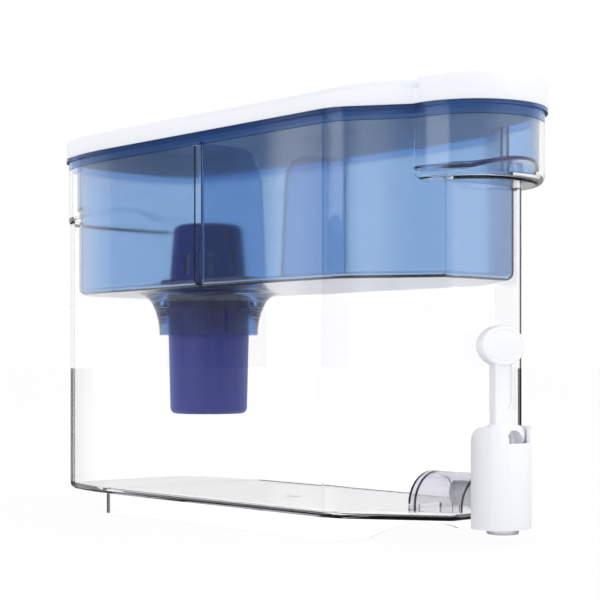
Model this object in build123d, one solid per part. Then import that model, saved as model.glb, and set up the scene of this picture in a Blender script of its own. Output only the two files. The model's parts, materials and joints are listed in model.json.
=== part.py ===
"""Gravity water filter for a refrigerator shelf: a clear tank with a lift-out reservoir and a lever tap.

Water poured under the lid stands in the tinted reservoir, runs down through the filter cartridge
into the tank, and is drawn off at the tap on the front panel.

Millimetres, +Z up. The origin is on the shelf under the middle of the lid, the tap faces -Y, and the
tank's long sides face -X and +X. Each function returns one piece in its assembled place.
"""
import os
from math import cos, radians, sin, tan

from build123d import *

# ---------------------------------------------------------------- tank
TANK_HALF_WIDTH = 66.3        # outer face of the long sides
TANK_BACK_Y = 183.0           # outer face of the back end panel
TANK_FRONT_Y = -158.0         # outer face of the front end panel, where the tap is fitted
BACK_PANEL_HALF = 28.0        # half width of the flat back panel, between its two creases
BACK_CURVE_Y = 105.0          # where the long side starts to curve towards the back
BACK_CORNER_INSET = 6.0       # how far the long curve has come in where the corner curve takes over
BACK_CORNER_LENGTH = 28.0     # length of the corner curve along the side
FLANK_Y = -104.0              # corner between the long side and the front flank, before rounding
FLANK_ANGLE = 35.0            # lean of the front flank to the long side, in degrees
FLANK_RADIUS = 26.0
PANEL_EDGE_RADIUS = 7.0       # round between the flank and the front panel
TANK_WALL = 2.4
TANK_FLOOR = 2.5
FOOT_HEIGHT = 12.5            # the floor's underside above the shelf
RIM_Z = 228.0                 # top edge of the tank wall
FLOOR_EDGE_RADIUS = 4.0       # outside, where the ends overhang the foot
FLOOR_INNER_RADIUS = 2.4

# The foot is a thin skirt under the floor.
FOOT_WALL = 2.0
FOOT_INSET = 1.0              # from the long sides
FOOT_BACK_Y = 114.0
FOOT_FRONT_Y = -99.0
FOOT_BOW = 6.5                # both end walls bow outwards
FOOT_CORNER_RADIUS = 9.0
FOOT_ARCH_HALF = 37.0
FOOT_ARCH_RISE = 6.0

# The upper tank widens into a round nose over the tap, and steps out a little at the back.
NOSE_RADIUS = 41.0
NOSE_Y = -144.0
NOSE_BOTTOM_Z = 194.0
NOSE_LIP_RADIUS = 5.0
BACK_STEP = 1.9
BACK_STEP_Z = 191.0
BACK_STEP_HEIGHT = 2.2        # over which the wall leans out to the step

# ---------------------------------------------------------------- reservoir
RESERVOIR_WALL = 2.0
RESERVOIR_FLOOR = 2.2
RESERVOIR_BOTTOM_Z = 143.0
RESERVOIR_GAP = 2.2           # to the tank's inner faces along the sides
RESERVOIR_FRONT_GAP = 4.0     # to the tank's inner face at the front panel
RESERVOIR_BACK_GAP = 6.2
NOSE_GAP = 0.8                # between the two noses
SHELF_Z = 200.0               # underside of the reservoir's end shelves
SHELF_ARCH_HALF = 26.0        # the shelves are arched for the fingers
SHELF_ARCH_RISE = 5.0
RESERVOIR_EDGE_RADIUS = 4.5
LIP_HEIGHT = 5.0              # the lip stands on the tank's top edge, flush with its wall
FLANGE_THICKNESS = 2.2        # the rim flange joins the lip to the reservoir's wall
FLANGE_OVERHANG = 1.7         # past the tank's outer face

# A half-round flute stiffens each long side, where a baffle panel springs from it.
FLUTE_Y = 17.8
FLUTE_RADIUS = 3.4
FLUTE_CENTRE_OUT = 0.8        # the flute's centre line outside the side face
FLUTE_TOP_Z = 228.5
BAFFLE_THICKNESS = 1.8
BAFFLE_TOP_Z = 230.4
BAFFLE_GAP_HALF = 6.6         # half of the gap between the two baffles, at the floor
BAFFLE_LEAN = 3.5             # of each baffle's free edge, in degrees
BAFFLE_CORNER_RADIUS = 20.0

# ---------------------------------------------------------------- filter cartridge
FILTER_Y = 84.0
FILTER_BOTTOM_Z = 63.8
FILTER_BASE_RADIUS = 25.3
FILTER_TOP_RADIUS = 27.3      # outer radius of the lower body under the flange
FILTER_FOOT_RADIUS = 4.0
FILTER_WALL = 1.6
FLANGE_Z = 147.6              # underside of the cartridge's flange
CARTRIDGE_FLANGE_RADIUS = 31.2
CARTRIDGE_FLANGE = 3.6
CAP_BASE_RADIUS = 25.0
CAP_TOP_RADIUS = 22.2
CAP_TOP_Z = 188.3
CAP_ROUND = 5.0
CAP_SLOTS = 10
CAP_SLOT_WIDTH = 3.0
CAP_SLOT_HEIGHT = 15.0
GRIP_TABS = 2
GRIP_TAB_WIDTH = 9.0
GRIP_TAB_REACH = 2.4
SCREEN_THICKNESS = 0.8
OUTLET_HOLES = 10
OUTLET_HOLE_RADIUS = 2.0
OUTLET_RING_RADIUS = 14.0
MEDIA_CLEARANCE = 0.2
MEDIA_HEADROOM = 6.0          # empty space between the carbon and the flange
SEAL_THICKNESS = 1.6
SEAL_EDGE_INSET = 0.4         # of the ring from the outside of the sleeve

# The collar that holds the cartridge under the reservoir's floor.
COLLAR_BOTTOM_Z = 115.6
COLLAR_BOTTOM_RADIUS = 32.5
COLLAR_TOP_RADIUS = 41.5
COLLAR_CLEARANCE = 0.6
COLLAR_STEP_Z = 128.0
COLLAR_STEP = 1.6
SLEEVE_WALL = 2.3
MOAT_RINGS = 3                # stepped rings between the sleeve and the flared skirt
MOAT_SKIRT = 2.2

# ---------------------------------------------------------------- lid
LID_INSET = 0.3               # from the edge of the reservoir's flange
LID_WALL = 2.2
LID_LEDGE_HEIGHT = 8.3        # of the low edge under the finger scoops
LID_CROWN_HEIGHT = 15.3
LID_CROWN_RADIUS = 605.0
LID_EDGE_RADIUS = 2.0
SCOOP_REAR_Y = 77.0
SCOOP_MIDDLE_Y = 5.0
SCOOP_MIDDLE_INSET = 6.0
SCOOP_DEEP_Y = -80.0
SCOOP_DEEP_INSET = 9.0
SCOOP_FRONT_Y = -138.5
SCOOP_COVE = 3.0
LID_RIB_THICKNESS = 1.6
LID_RIB_CLEARANCE = 0.8
LID_RIB_BOTTOM_Z = 231.2

# ---------------------------------------------------------------- tap
TAP_AXIS_OUT = 9.4            # from the tank's front face to the valve's vertical axis
SHANK_Z = 25.0
SHANK_RADIUS = 6.5
SHANK_BORE = 4.2
SHANK_REACH = 23.0            # past the tank's front face, into the tank
SHANK_HOLE_CLEARANCE = 0.3
SHANK_FLANGE = 2.0
SHANK_FLANGE_RADIUS = 9.4
GASKET_THICKNESS = 2.0
GASKET_RADIUS = 8.8
WASHER_THICKNESS = 2.0
WASHER_RADIUS = 7.5
NUT_ACROSS_FLATS = 16.0
NUT_LENGTH = 8.0
BARREL_RADIUS = 9.0
BARREL_BORE = 7.0
BARREL_TOP_Z = 44.0
HOUSING_BOTTOM_Z = 7.8
HOUSING_TOP_Z = 62.9
HOUSING_HALF_WIDTH = 15.3
HOUSING_DEPTH = 22.3          # from the tank's face to the middle of the bowed front
HOUSING_BOW_RADIUS = 28.0
HOUSING_CORNER_RADIUS = 8.0
HOUSING_WALL = 2.2
HOUSING_SHOULDER_RADIUS = 8.0
SLOT_BOTTOM_Z = 54.0
SLOT_HALF_WIDTH = 8.5
NOZZLE_BOTTOM_Z = 5.0
NOZZLE_RADIUS = 8.6
NOZZLE_BORE = 5.0
NOZZLE_MOUTH = 6.9
NOZZLE_EDGE_RADIUS = 0.5
NOZZLE_CLEARANCE = 0.25       # to the hole in the housing's floor
SEAT_Z = 14.0
SEAL_PLUG_RADIUS = 6.2
SEAL_PLUG_HEIGHT = 6.0
BONNET_THICKNESS = 5.0
BONNET_SPIGOT = 4.0
STEM_RADIUS = 2.5
STEM_GUIDE_CLEARANCE = 0.25
STEM_COLLAR_RADIUS = 5.6
STEM_COLLAR = 1.5
O_RING_SECTION = 0.95
O_RING_CLEARANCE = 0.1
SPRING_RADIUS = 4.6
SPRING_WIRE = 0.5
SPRING_TURNS = 5

# The lever rocks on a pin through the head of the stem, and its cam bears on the bonnet.
PIVOT_Z = 56.5
LEVER_TILT = 40.0             # degrees forward from rest
VALVE_LIFT = 2.6
CAM_GAP = 0.3
HUB_HALF_WIDTH = 11.8
HUB_RADIUS = 9.0
HUB_END_RADIUS = 6.7
CAM_HALF_WIDTH = 7.0
FORK_HALF_GAP = 3.0
HEAD_HALF_WIDTH = 2.5
HEAD_RADIUS = 3.2
PIN_RADIUS = 1.6
PIN_CLEARANCE = 0.08
PIN_HALF_LENGTH = 9.5
ARCH_HALF_WIDTH = 7.2
ARCH_TOP_Z = 61.0
ARCH_DEPTH = 5.5
LEVER_STEM_WIDTH = 14.0
LEVER_STEM_THICKNESS = 5.2
LEVER_STEM_BACK_OUT = 5.7     # from the tank's front face to the lever's rear
GROOVE_WIDTH = 11.6
GROOVE_DEPTH = 0.8
GROOVE_BOTTOM_Z = 71.5
PADDLE_Z = 106.2
PADDLE_WIDTH = 35.0
PADDLE_HEIGHT = 22.0
PADDLE_THICKNESS = 6.3
PADDLE_BACK_OUT = 5.0
PADDLE_EDGE_RADIUS = 1.6

# The hood inside the tank lets the tap draw from the lowest water.
HOOD_RADIUS = 18.5
HOOD_TOP_Z = 36.6
HOOD_WALL = 1.7
HOOD_START_GAP = 3.1          # from the tank's inner front face
HOOD_LENGTH = 38.5
HOOD_GROOVE_BACK = 6.5        # from the hood's inner end to its ring
HOOD_RING_SECTION = 1.3
HOOD_INLET_WIDTH = 18.0
HOOD_INLET_HEIGHT = 3.0

# ---------------------------------------------------------------- worked out from the sizes above
TANK_FLOOR_Z = FOOT_HEIGHT + TANK_FLOOR
LIP_TOP_Z = RIM_Z + LIP_HEIGHT
LID_BOTTOM_Z = LIP_TOP_Z + FLANGE_THICKNESS
LID_GROW = FLANGE_OVERHANG - LID_INSET
LEDGE_Z = LID_BOTTOM_Z + LID_LEDGE_HEIGHT
CROWN_Z = LID_BOTTOM_Z + LID_CROWN_HEIGHT
RESERVOIR_GROW = -(TANK_WALL + RESERVOIR_GAP)
RESERVOIR_FLOOR_Z = RESERVOIR_BOTTOM_Z + RESERVOIR_FLOOR
SEAT_RING_Z = FLANGE_Z - SEAL_THICKNESS
WELL_RADIUS = FILTER_TOP_RADIUS + COLLAR_CLEARANCE
SLEEVE_RADIUS = WELL_RADIUS + COLLAR_STEP
TAP_Y = TANK_FRONT_Y - TAP_AXIS_OUT
TANK_INNER_FRONT_Y = TANK_FRONT_Y + TANK_WALL
BARREL_BOTTOM_Z = HOUSING_BOTTOM_Z + HOUSING_WALL
BONNET_TOP_Z = BARREL_TOP_Z + BONNET_THICKNESS
CAM_DEPTH = PIVOT_Z - BONNET_TOP_Z - CAM_GAP
CAM_RATE = VALVE_LIFT / radians(LEVER_TILT)
STEM_FOOT_Z = SEAT_Z + SEAL_PLUG_HEIGHT
OVER = 1.0                    # how far a cutting tool runs past the face that it cuts


# ---------------------------------------------------------------- plans
def tank_plan(grow=0.0, front_out=0.0, back_out=0.0):
    """The tank's outer face in plan, its end panels moved out first and the whole then grown."""
    half = TANK_HALF_WIDTH
    back = TANK_BACK_Y + back_out
    front = TANK_FRONT_Y - front_out
    curve_start = (half, BACK_CURVE_Y)
    curve_end = (half - BACK_CORNER_INSET, back - BACK_CORNER_LENGTH)
    crease = (BACK_PANEL_HALF, back)
    panel_half = half - (FLANK_Y - front) * tan(radians(FLANK_ANGLE))
    side_curve = TangentArc(curve_start, curve_end, tangent=(0, 1))
    corner_curve = TangentArc(curve_end, crease, tangent=side_curve % 1)
    front_run = FilletPolyline(
        curve_start, (half, FLANK_Y), (panel_half, front), (0, front),
        radius=[FLANK_RADIUS, PANEL_EDGE_RADIUS],
    )
    half_outline = Wire([Line((0, back), crease), corner_curve, side_curve] + front_run.edges())
    outline = Wire(half_outline.edges() + half_outline.mirror(Plane.YZ).edges())
    face = Face(outline)
    if face.normal_at().Z < 0:
        face = -face
    return offset(face, amount=grow, kind=Kind.INTERSECTION) if grow else Sketch() + face


def nose_disc(grow=0.0):
    """The round nose in plan."""
    return Pos(0, NOSE_Y) * Circle(NOSE_RADIUS + grow)


def upper_plan(grow=0.0):
    """The upper tank in plan: the tank with its back step, and the nose."""
    return tank_plan(grow, back_out=BACK_STEP) + nose_disc(grow)


def reservoir_plan(grow=0.0, back_out=0.0):
    """The reservoir's outer face in plan, below its shelves."""
    return tank_plan(
        RESERVOIR_GROW + grow,
        front_out=RESERVOIR_GAP - RESERVOIR_FRONT_GAP,
        back_out=RESERVOIR_GAP - RESERVOIR_BACK_GAP + back_out,
    )


def reservoir_nose_radius(grow=0.0):
    """Radius of the reservoir's nose."""
    return NOSE_RADIUS - TANK_WALL - NOSE_GAP + grow


def prism(plan, bottom, top):
    """A plan raised between two heights."""
    return extrude(Pos(0, 0, bottom) * plan, amount=top - bottom, dir=(0, 0, 1))


def lowest_edges(solid):
    """The edges round a solid's underside."""
    return solid.edges().group_by(Axis.Z)[0]


def rounded_prism(plan, bottom, top, radius):
    """A plan raised between two heights, its bottom edge rounded."""
    solid = prism(plan, bottom, top)
    return fillet(lowest_edges(solid), radius) if radius > 0 else solid


def rod(radius, length, start, direction=(0, 0, 1)):
    """A round bar from a start point."""
    return extrude(Plane(origin=start, z_dir=direction) * Circle(radius), amount=length)


def turned(points, centre_y=0.0):
    """A closed (radius, height) outline turned about a vertical axis."""
    profile = Plane.XZ * make_face(Polyline(*points, close=True))
    return Pos(0, centre_y, 0) * revolve(profile, Axis.Z)


# ---------------------------------------------------------------- tank
def back_plan(grow, back_out):
    """The tank's plan behind the place where its long sides start to curve."""
    reach = 2 * (TANK_BACK_Y - BACK_CURVE_Y)
    window = Pos(0, BACK_CURVE_Y + reach / 2) * Rectangle(4 * TANK_HALF_WIDTH, reach)
    return tank_plan(grow, back_out=back_out) & window


def back_step(grow, step_z, top):
    """The step that leans out round the back and then goes straight up."""
    full_z = step_z + BACK_STEP_HEIGHT
    lean = loft([Pos(0, 0, step_z) * back_plan(grow, 0), Pos(0, 0, full_z) * back_plan(grow, BACK_STEP)],
                ruled=True)
    return lean + prism(back_plan(grow, BACK_STEP), full_z, top)


def tank_body(grow, floor_z, edge_radius, nose_bottom, lip_radius, step_z, top):
    """The tank's outer or inner form: lower walls, back step and nose."""
    lower = rounded_prism(tank_plan(grow), floor_z, top, edge_radius)
    nose = rounded_prism(nose_disc(grow), nose_bottom, top, lip_radius)
    return lower + back_step(grow, step_z, top) + nose


def foot_plan(inset=0.0):
    """The foot in plan: straight sides, bowed ends, round corners."""
    half = TANK_HALF_WIDTH - FOOT_INSET - inset
    back = FOOT_BACK_Y - inset
    front = FOOT_FRONT_Y + inset
    outline = [
        Line((half, front), (half, back)),
        ThreePointArc((half, back), (0, back + FOOT_BOW), (-half, back)),
        Line((-half, back), (-half, front)),
        ThreePointArc((-half, front), (0, front - FOOT_BOW), (half, front)),
    ]
    face = make_face(outline)
    return fillet(face.vertices(), FOOT_CORNER_RADIUS - inset)


def arch_tool(half, rise, bottom, y_from, y_to):
    """A long round bar whose top makes an arch of the given half span and rise over a height."""
    radius = (half ** 2 + rise ** 2) / (2 * rise)
    return rod(radius, y_to - y_from, (0, y_from, bottom + rise - radius), (0, 1, 0))


def tank():
    """Clear tank: one moulding with its foot, floor, walls and nose."""
    outer = tank_body(0, FOOT_HEIGHT, FLOOR_EDGE_RADIUS, NOSE_BOTTOM_Z, NOSE_LIP_RADIUS, BACK_STEP_Z, RIM_Z)
    inner = tank_body(
        -TANK_WALL, TANK_FLOOR_Z, FLOOR_INNER_RADIUS, NOSE_BOTTOM_Z + TANK_WALL,
        NOSE_LIP_RADIUS - TANK_WALL, BACK_STEP_Z + TANK_WALL, RIM_Z + OVER,
    )
    foot_top = FOOT_HEIGHT + TANK_FLOOR / 2
    foot = prism(foot_plan(), 0, foot_top) - prism(foot_plan(FOOT_WALL), -OVER, foot_top)
    foot -= arch_tool(FOOT_ARCH_HALF, FOOT_ARCH_RISE, 0,
                      FOOT_FRONT_Y - 2 * FOOT_BOW, FOOT_FRONT_Y + FOOT_BOW)
    hole = rod(SHANK_RADIUS + SHANK_HOLE_CLEARANCE, TANK_WALL + 2 * OVER,
               (0, TANK_FRONT_Y - OVER, SHANK_Z), (0, 1, 0))
    return outer - inner + foot - hole


# ---------------------------------------------------------------- reservoir
def shelf_arch(grow=0.0):
    """The bar whose top arches both end shelves, grown for the wall above it."""
    span = TANK_BACK_Y - TANK_FRONT_Y + 4 * NOSE_RADIUS
    radius = (SHELF_ARCH_HALF ** 2 + SHELF_ARCH_RISE ** 2) / (2 * SHELF_ARCH_RISE)
    centre = (0, TANK_FRONT_Y - 2 * NOSE_RADIUS, SHELF_Z + SHELF_ARCH_RISE - radius)
    return rod(radius + grow, span, centre, (0, 1, 0))


def reservoir_form(grow, floor_z, edge_radius, shelf_z, top):
    """The reservoir's outer or inner form, with arched shelves at both ends."""
    lower = rounded_prism(reservoir_plan(grow), floor_z, top, edge_radius)
    step = prism(reservoir_plan(grow, back_out=BACK_STEP), shelf_z, top)
    disc = Pos(0, NOSE_Y) * Circle(reservoir_nose_radius(grow))
    nose = rounded_prism(disc, shelf_z, top, edge_radius / 2)
    return lower + ((step + nose) - shelf_arch(-grow))


def collar_radius(z):
    """Outer radius of the flared collar at a height."""
    rise = RESERVOIR_BOTTOM_Z - COLLAR_BOTTOM_Z
    reach = COLLAR_TOP_RADIUS - COLLAR_BOTTOM_RADIUS
    flare = (reach ** 2 + rise ** 2) / (2 * reach)
    return COLLAR_BOTTOM_RADIUS + flare - (flare ** 2 - (z - COLLAR_BOTTOM_Z) ** 2) ** 0.5


def collar():
    """The collar: a flared skirt, a stepped moat, and the sleeve that the cartridge hangs in."""
    floor = RESERVOIR_FLOOR_Z
    sleeve = SLEEVE_RADIUS + SLEEVE_WALL
    middle_z = (COLLAR_BOTTOM_Z + RESERVOIR_BOTTOM_Z) / 2
    flare = ThreePointArc(
        (COLLAR_BOTTOM_RADIUS, COLLAR_BOTTOM_Z),
        (collar_radius(middle_z), middle_z),
        (COLLAR_TOP_RADIUS, RESERVOIR_BOTTOM_Z),
    )
    reach = COLLAR_TOP_RADIUS - COLLAR_BOTTOM_RADIUS
    moat_width = COLLAR_TOP_RADIUS - MOAT_SKIRT - sleeve
    steps = []
    for ring in range(MOAT_RINGS, 0, -1):
        outer = sleeve + moat_width * ring / MOAT_RINGS
        inner = sleeve + moat_width * (ring - 1) / MOAT_RINGS
        share = (outer + MOAT_SKIRT - COLLAR_BOTTOM_RADIUS) / reach
        step_z = COLLAR_BOTTOM_Z + (RESERVOIR_BOTTOM_Z - COLLAR_BOTTOM_Z) * share ** 0.5
        steps += [(outer, step_z), (inner, step_z)]
    outline = Polyline(
        (COLLAR_TOP_RADIUS, RESERVOIR_BOTTOM_Z), (COLLAR_TOP_RADIUS, floor),
        (steps[0][0], floor), *steps, (sleeve, SEAT_RING_Z), (SLEEVE_RADIUS, SEAT_RING_Z),
        (SLEEVE_RADIUS, COLLAR_STEP_Z), (WELL_RADIUS, COLLAR_STEP_Z),
        (WELL_RADIUS, COLLAR_BOTTOM_Z), (COLLAR_BOTTOM_RADIUS, COLLAR_BOTTOM_Z),
    )
    profile = Plane.XZ * make_face([flare] + outline.edges())
    return Pos(0, FILTER_Y, 0) * revolve(profile, Axis.Z)


def baffle(side):
    """One baffle panel, from a long side towards the middle, its upper inner corner rounded."""
    outer = TANK_HALF_WIDTH + RESERVOIR_GROW - RESERVOIR_WALL / 2
    bottom = RESERVOIR_FLOOR_Z - RESERVOIR_FLOOR / 2
    top_inner = BAFFLE_GAP_HALF + (BAFFLE_TOP_Z - bottom) * tan(radians(BAFFLE_LEAN))
    corner = (top_inner, BAFFLE_TOP_Z)
    free_edge = FilletPolyline((BAFFLE_GAP_HALF, bottom), corner, (outer, BAFFLE_TOP_Z),
                               radius=BAFFLE_CORNER_RADIUS)
    wall_edge = Polyline((outer, BAFFLE_TOP_Z), (outer, bottom), (BAFFLE_GAP_HALF, bottom))
    sheet = make_face(free_edge.edges() + wall_edge.edges())
    plane = Plane(origin=(0, FLUTE_Y + BAFFLE_THICKNESS / 2, 0), x_dir=(1, 0, 0), z_dir=(0, -1, 0))
    panel = extrude(plane * sheet, amount=BAFFLE_THICKNESS)
    return panel if side > 0 else panel.mirror(Plane.YZ)


def reservoir():
    """Tinted reservoir: walls, shelves, flutes, baffles, rim with its lip, and filter collar."""
    outer = reservoir_form(0, RESERVOIR_BOTTOM_Z, RESERVOIR_EDGE_RADIUS, SHELF_Z, LID_BOTTOM_Z)
    inner = reservoir_form(
        -RESERVOIR_WALL, RESERVOIR_FLOOR_Z, RESERVOIR_EDGE_RADIUS - RESERVOIR_WALL,
        SHELF_Z + RESERVOIR_WALL, LID_BOTTOM_Z + OVER,
    )
    flange = prism(upper_plan(FLANGE_OVERHANG), LIP_TOP_Z, LID_BOTTOM_Z)
    lip = prism(upper_plan() - upper_plan(-TANK_WALL), RIM_Z, LIP_TOP_Z + FLANGE_THICKNESS / 2)
    body = outer + flange + lip - inner
    flute_x = TANK_HALF_WIDTH + RESERVOIR_GROW + FLUTE_CENTRE_OUT
    bulge_top = FLUTE_TOP_Z + RESERVOIR_WALL
    middle = prism(reservoir_plan(-RESERVOIR_WALL / 2), RESERVOIR_BOTTOM_Z + RESERVOIR_FLOOR / 2, bulge_top)
    for side in (1, -1):
        centre = Pos(side * flute_x, FLUTE_Y)
        bulge = prism(centre * Circle(FLUTE_RADIUS + RESERVOIR_WALL), RESERVOIR_BOTTOM_Z, bulge_top)
        body += (bulge & middle) + baffle(side)
        body -= prism(centre * Circle(FLUTE_RADIUS), RESERVOIR_BOTTOM_Z - OVER, FLUTE_TOP_Z)
    body -= rod(COLLAR_TOP_RADIUS - MOAT_SKIRT / 2, RESERVOIR_FLOOR + 2 * OVER,
                (0, FILTER_Y, RESERVOIR_BOTTOM_Z - OVER))
    return body + collar()


# ---------------------------------------------------------------- filter cartridge
def filter_radius(z):
    """Outer radius of the tapered lower body at a height."""
    share = (z - FILTER_BOTTOM_Z) / (FLANGE_Z - FILTER_BOTTOM_Z)
    return FILTER_BASE_RADIUS + share * (FILTER_TOP_RADIUS - FILTER_BASE_RADIUS)


def filter_body():
    """Lower cup of the cartridge, with a ring of outlet holes in its floor."""
    floor_z = FILTER_BOTTOM_Z + FILTER_WALL
    cup = turned([
        (0, FILTER_BOTTOM_Z), (FILTER_BASE_RADIUS, FILTER_BOTTOM_Z),
        (FILTER_TOP_RADIUS, FLANGE_Z), (0, FLANGE_Z),
    ])
    cup = fillet(lowest_edges(cup), FILTER_FOOT_RADIUS)
    hollow = turned([
        (0, floor_z), (filter_radius(floor_z) - FILTER_WALL, floor_z),
        (FILTER_TOP_RADIUS - FILTER_WALL, FLANGE_Z + OVER), (0, FLANGE_Z + OVER),
    ])
    hollow = fillet(lowest_edges(hollow), FILTER_FOOT_RADIUS - FILTER_WALL)
    holes = PolarLocations(OUTLET_RING_RADIUS, OUTLET_HOLES) * Circle(OUTLET_HOLE_RADIUS)
    drain = prism(Sketch() + holes, FILTER_BOTTOM_Z - OVER, floor_z + OVER)
    return Pos(0, FILTER_Y, 0) * (cup - hollow - drain)


def filter_cap():
    """Cap of the cartridge: flange with grip tabs, and a tapered dome with inlet slots."""
    top_z = FLANGE_Z + CARTRIDGE_FLANGE
    dome = turned([(0, top_z), (CAP_BASE_RADIUS, top_z), (CAP_TOP_RADIUS, CAP_TOP_Z), (0, CAP_TOP_Z)])
    dome = fillet(dome.edges().group_by(Axis.Z)[-1], CAP_ROUND)
    disc = rod(CARTRIDGE_FLANGE_RADIUS, CARTRIDGE_FLANGE, (0, 0, FLANGE_Z))
    tab = Rectangle(2 * GRIP_TAB_REACH, GRIP_TAB_WIDTH)
    tabs = PolarLocations(CARTRIDGE_FLANGE_RADIUS, GRIP_TABS) * tab
    disc += prism(Sketch() + tabs, FLANGE_Z, top_z)
    hollow = turned([
        (0, FLANGE_Z - OVER), (CAP_BASE_RADIUS - FILTER_WALL, FLANGE_Z - OVER),
        (CAP_BASE_RADIUS - FILTER_WALL, top_z), (CAP_TOP_RADIUS - FILTER_WALL, CAP_TOP_Z - FILTER_WALL),
        (0, CAP_TOP_Z - FILTER_WALL),
    ])
    hollow = fillet(hollow.edges().group_by(Axis.Z)[-1], CAP_ROUND - FILTER_WALL)
    slot_z = top_z + CAP_SLOT_WIDTH + CAP_SLOT_HEIGHT / 2
    slot = SlotOverall(CAP_SLOT_HEIGHT, CAP_SLOT_WIDTH, rotation=90)
    cutter = extrude(Plane(origin=(0, 0, slot_z), x_dir=(0, 1, 0), z_dir=(1, 0, 0)) * slot,
                     amount=CARTRIDGE_FLANGE_RADIUS)
    cap = dome + disc - hollow
    for number in range(CAP_SLOTS):
        cap -= Rot(0, 0, (number + 0.5) * 360 / CAP_SLOTS) * cutter
    return Pos(0, FILTER_Y, 0) * cap


def outlet_screen():
    """Mesh disc on the cup's floor, under the carbon."""
    bottom = FILTER_BOTTOM_Z + FILTER_WALL
    radius = FILTER_BASE_RADIUS - FILTER_FOOT_RADIUS
    return rod(radius, SCREEN_THICKNESS, (0, FILTER_Y, bottom))


def filter_media():
    """Packed carbon and ion exchange beads, inside the cup."""
    bottom = FILTER_BOTTOM_Z + FILTER_WALL + SCREEN_THICKNESS
    top = FLANGE_Z - MEDIA_HEADROOM
    inset = FILTER_WALL + MEDIA_CLEARANCE
    corner = bottom + FILTER_FOOT_RADIUS
    return turned([
        (0, bottom), (FILTER_BASE_RADIUS - FILTER_FOOT_RADIUS, bottom),
        (filter_radius(corner) - inset, corner), (filter_radius(top) - inset, top), (0, top),
    ], FILTER_Y)


def inlet_screen():
    """Mesh disc on top of the carbon."""
    top = FLANGE_Z - MEDIA_HEADROOM
    return rod(filter_radius(top) - FILTER_WALL - MEDIA_CLEARANCE, SCREEN_THICKNESS, (0, FILTER_Y, top))


def filter_seal():
    """Rubber ring between the cartridge's flange and the top of the collar's sleeve."""
    outer = rod(SLEEVE_RADIUS + SLEEVE_WALL - SEAL_EDGE_INSET, SEAL_THICKNESS, (0, FILTER_Y, SEAT_RING_Z))
    return outer - rod(SLEEVE_RADIUS, SEAL_THICKNESS, (0, FILTER_Y, SEAT_RING_Z))


# ---------------------------------------------------------------- lid
def flank_point(y, inset):
    """A point on the lid's front flank, moved in from its edge by an inset."""
    lean = radians(FLANK_ANGLE)
    edge = TANK_HALF_WIDTH - (FLANK_Y - y) * tan(lean)
    return edge + (LID_GROW - inset) / cos(lean), y


def scoop(side, grow=0.0):
    """The tool that cuts one finger scoop, grown for the wall under it."""
    half = TANK_HALF_WIDTH + LID_GROW - grow
    lean = radians(FLANK_ANGLE)
    rear = (half + LID_EDGE_RADIUS, SCOOP_REAR_Y)
    front = flank_point(SCOOP_FRONT_Y, SCOOP_DEEP_INSET + grow)
    shoulder = flank_point((SCOOP_DEEP_Y + FLANK_Y) / 2 - SCOOP_DEEP_INSET, SCOOP_DEEP_INSET + grow)
    edge = Spline(
        rear, (half - SCOOP_MIDDLE_INSET, SCOOP_MIDDLE_Y), (half - SCOOP_DEEP_INSET, SCOOP_DEEP_Y),
        (min(shoulder[0], half - SCOOP_DEEP_INSET - OVER), FLANK_Y - SCOOP_DEEP_INSET / 2), front,
    )
    outside = half + 4 * SCOOP_DEEP_INSET
    end = (front[0] + (outside - front[0]), front[1] - (outside - front[0]) * tan(lean))
    outline = Polyline(front, end, (outside, SCOOP_REAR_Y), rear)
    top = CROWN_Z + OVER
    bottom = LEDGE_Z - grow
    tool = prism(make_face([edge] + outline.edges()), bottom, top)
    inner_edges = lowest_edges(tool).filter_by(lambda e: (e @ 0.5).X < half)
    tool = fillet(inner_edges, SCOOP_COVE)
    return tool if side > 0 else tool.mirror(Plane.YZ)


def crown_bar(drop=0.0):
    """The long bar whose top makes the lid's crown."""
    start = (0, TANK_FRONT_Y - 2 * NOSE_RADIUS, CROWN_Z - drop - LID_CROWN_RADIUS)
    return rod(LID_CROWN_RADIUS, TANK_BACK_Y - TANK_FRONT_Y + 4 * NOSE_RADIUS, start, (0, 1, 0))


def lid():
    """White lid: a crowned shell with a finger scoop along each side and a locating rib."""
    full = prism(upper_plan(LID_GROW), LID_BOTTOM_Z, CROWN_Z) & crown_bar()
    top_edges = full.edges().filter_by(lambda e: e.bounding_box().min.Z > LEDGE_Z - OVER)
    full = fillet(top_edges, LID_EDGE_RADIUS)
    hollow = prism(upper_plan(LID_GROW - LID_WALL), LID_BOTTOM_Z - OVER, CROWN_Z) & crown_bar(LID_WALL)
    rib_grow = -RESERVOIR_WALL - LID_RIB_CLEARANCE
    nose = reservoir_nose_radius()
    ring = None
    for inset in (0.0, LID_RIB_THICKNESS):
        plan = reservoir_plan(rib_grow - inset, back_out=BACK_STEP)
        plan += Pos(0, NOSE_Y) * Circle(nose + rib_grow - inset)
        ring = plan if ring is None else ring - plan
    rib = prism(ring, LID_RIB_BOTTOM_Z, CROWN_Z) & crown_bar(LID_WALL / 2)
    for side in (1, -1):
        full -= scoop(side)
        hollow -= scoop(side, LID_WALL)
        rib -= scoop(side, LID_WALL / 2)
    return full - hollow + rib


# ---------------------------------------------------------------- tap, fixed parts
def housing_plan(inset=0.0):
    """The tap housing in plan: flat sides and a bowed front."""
    half = HOUSING_HALF_WIDTH - inset
    front = TANK_FRONT_Y - HOUSING_DEPTH + inset
    depth = TANK_FRONT_Y - front
    bow = HOUSING_BOW_RADIUS - inset
    block = Pos(0, TANK_FRONT_Y - depth / 2) * Rectangle(2 * half, depth)
    block &= Pos(0, front + bow) * Circle(bow)
    corners = block.vertices().sort_by(Axis.Y)[:2]
    return fillet(corners, HOUSING_CORNER_RADIUS - inset)


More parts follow.
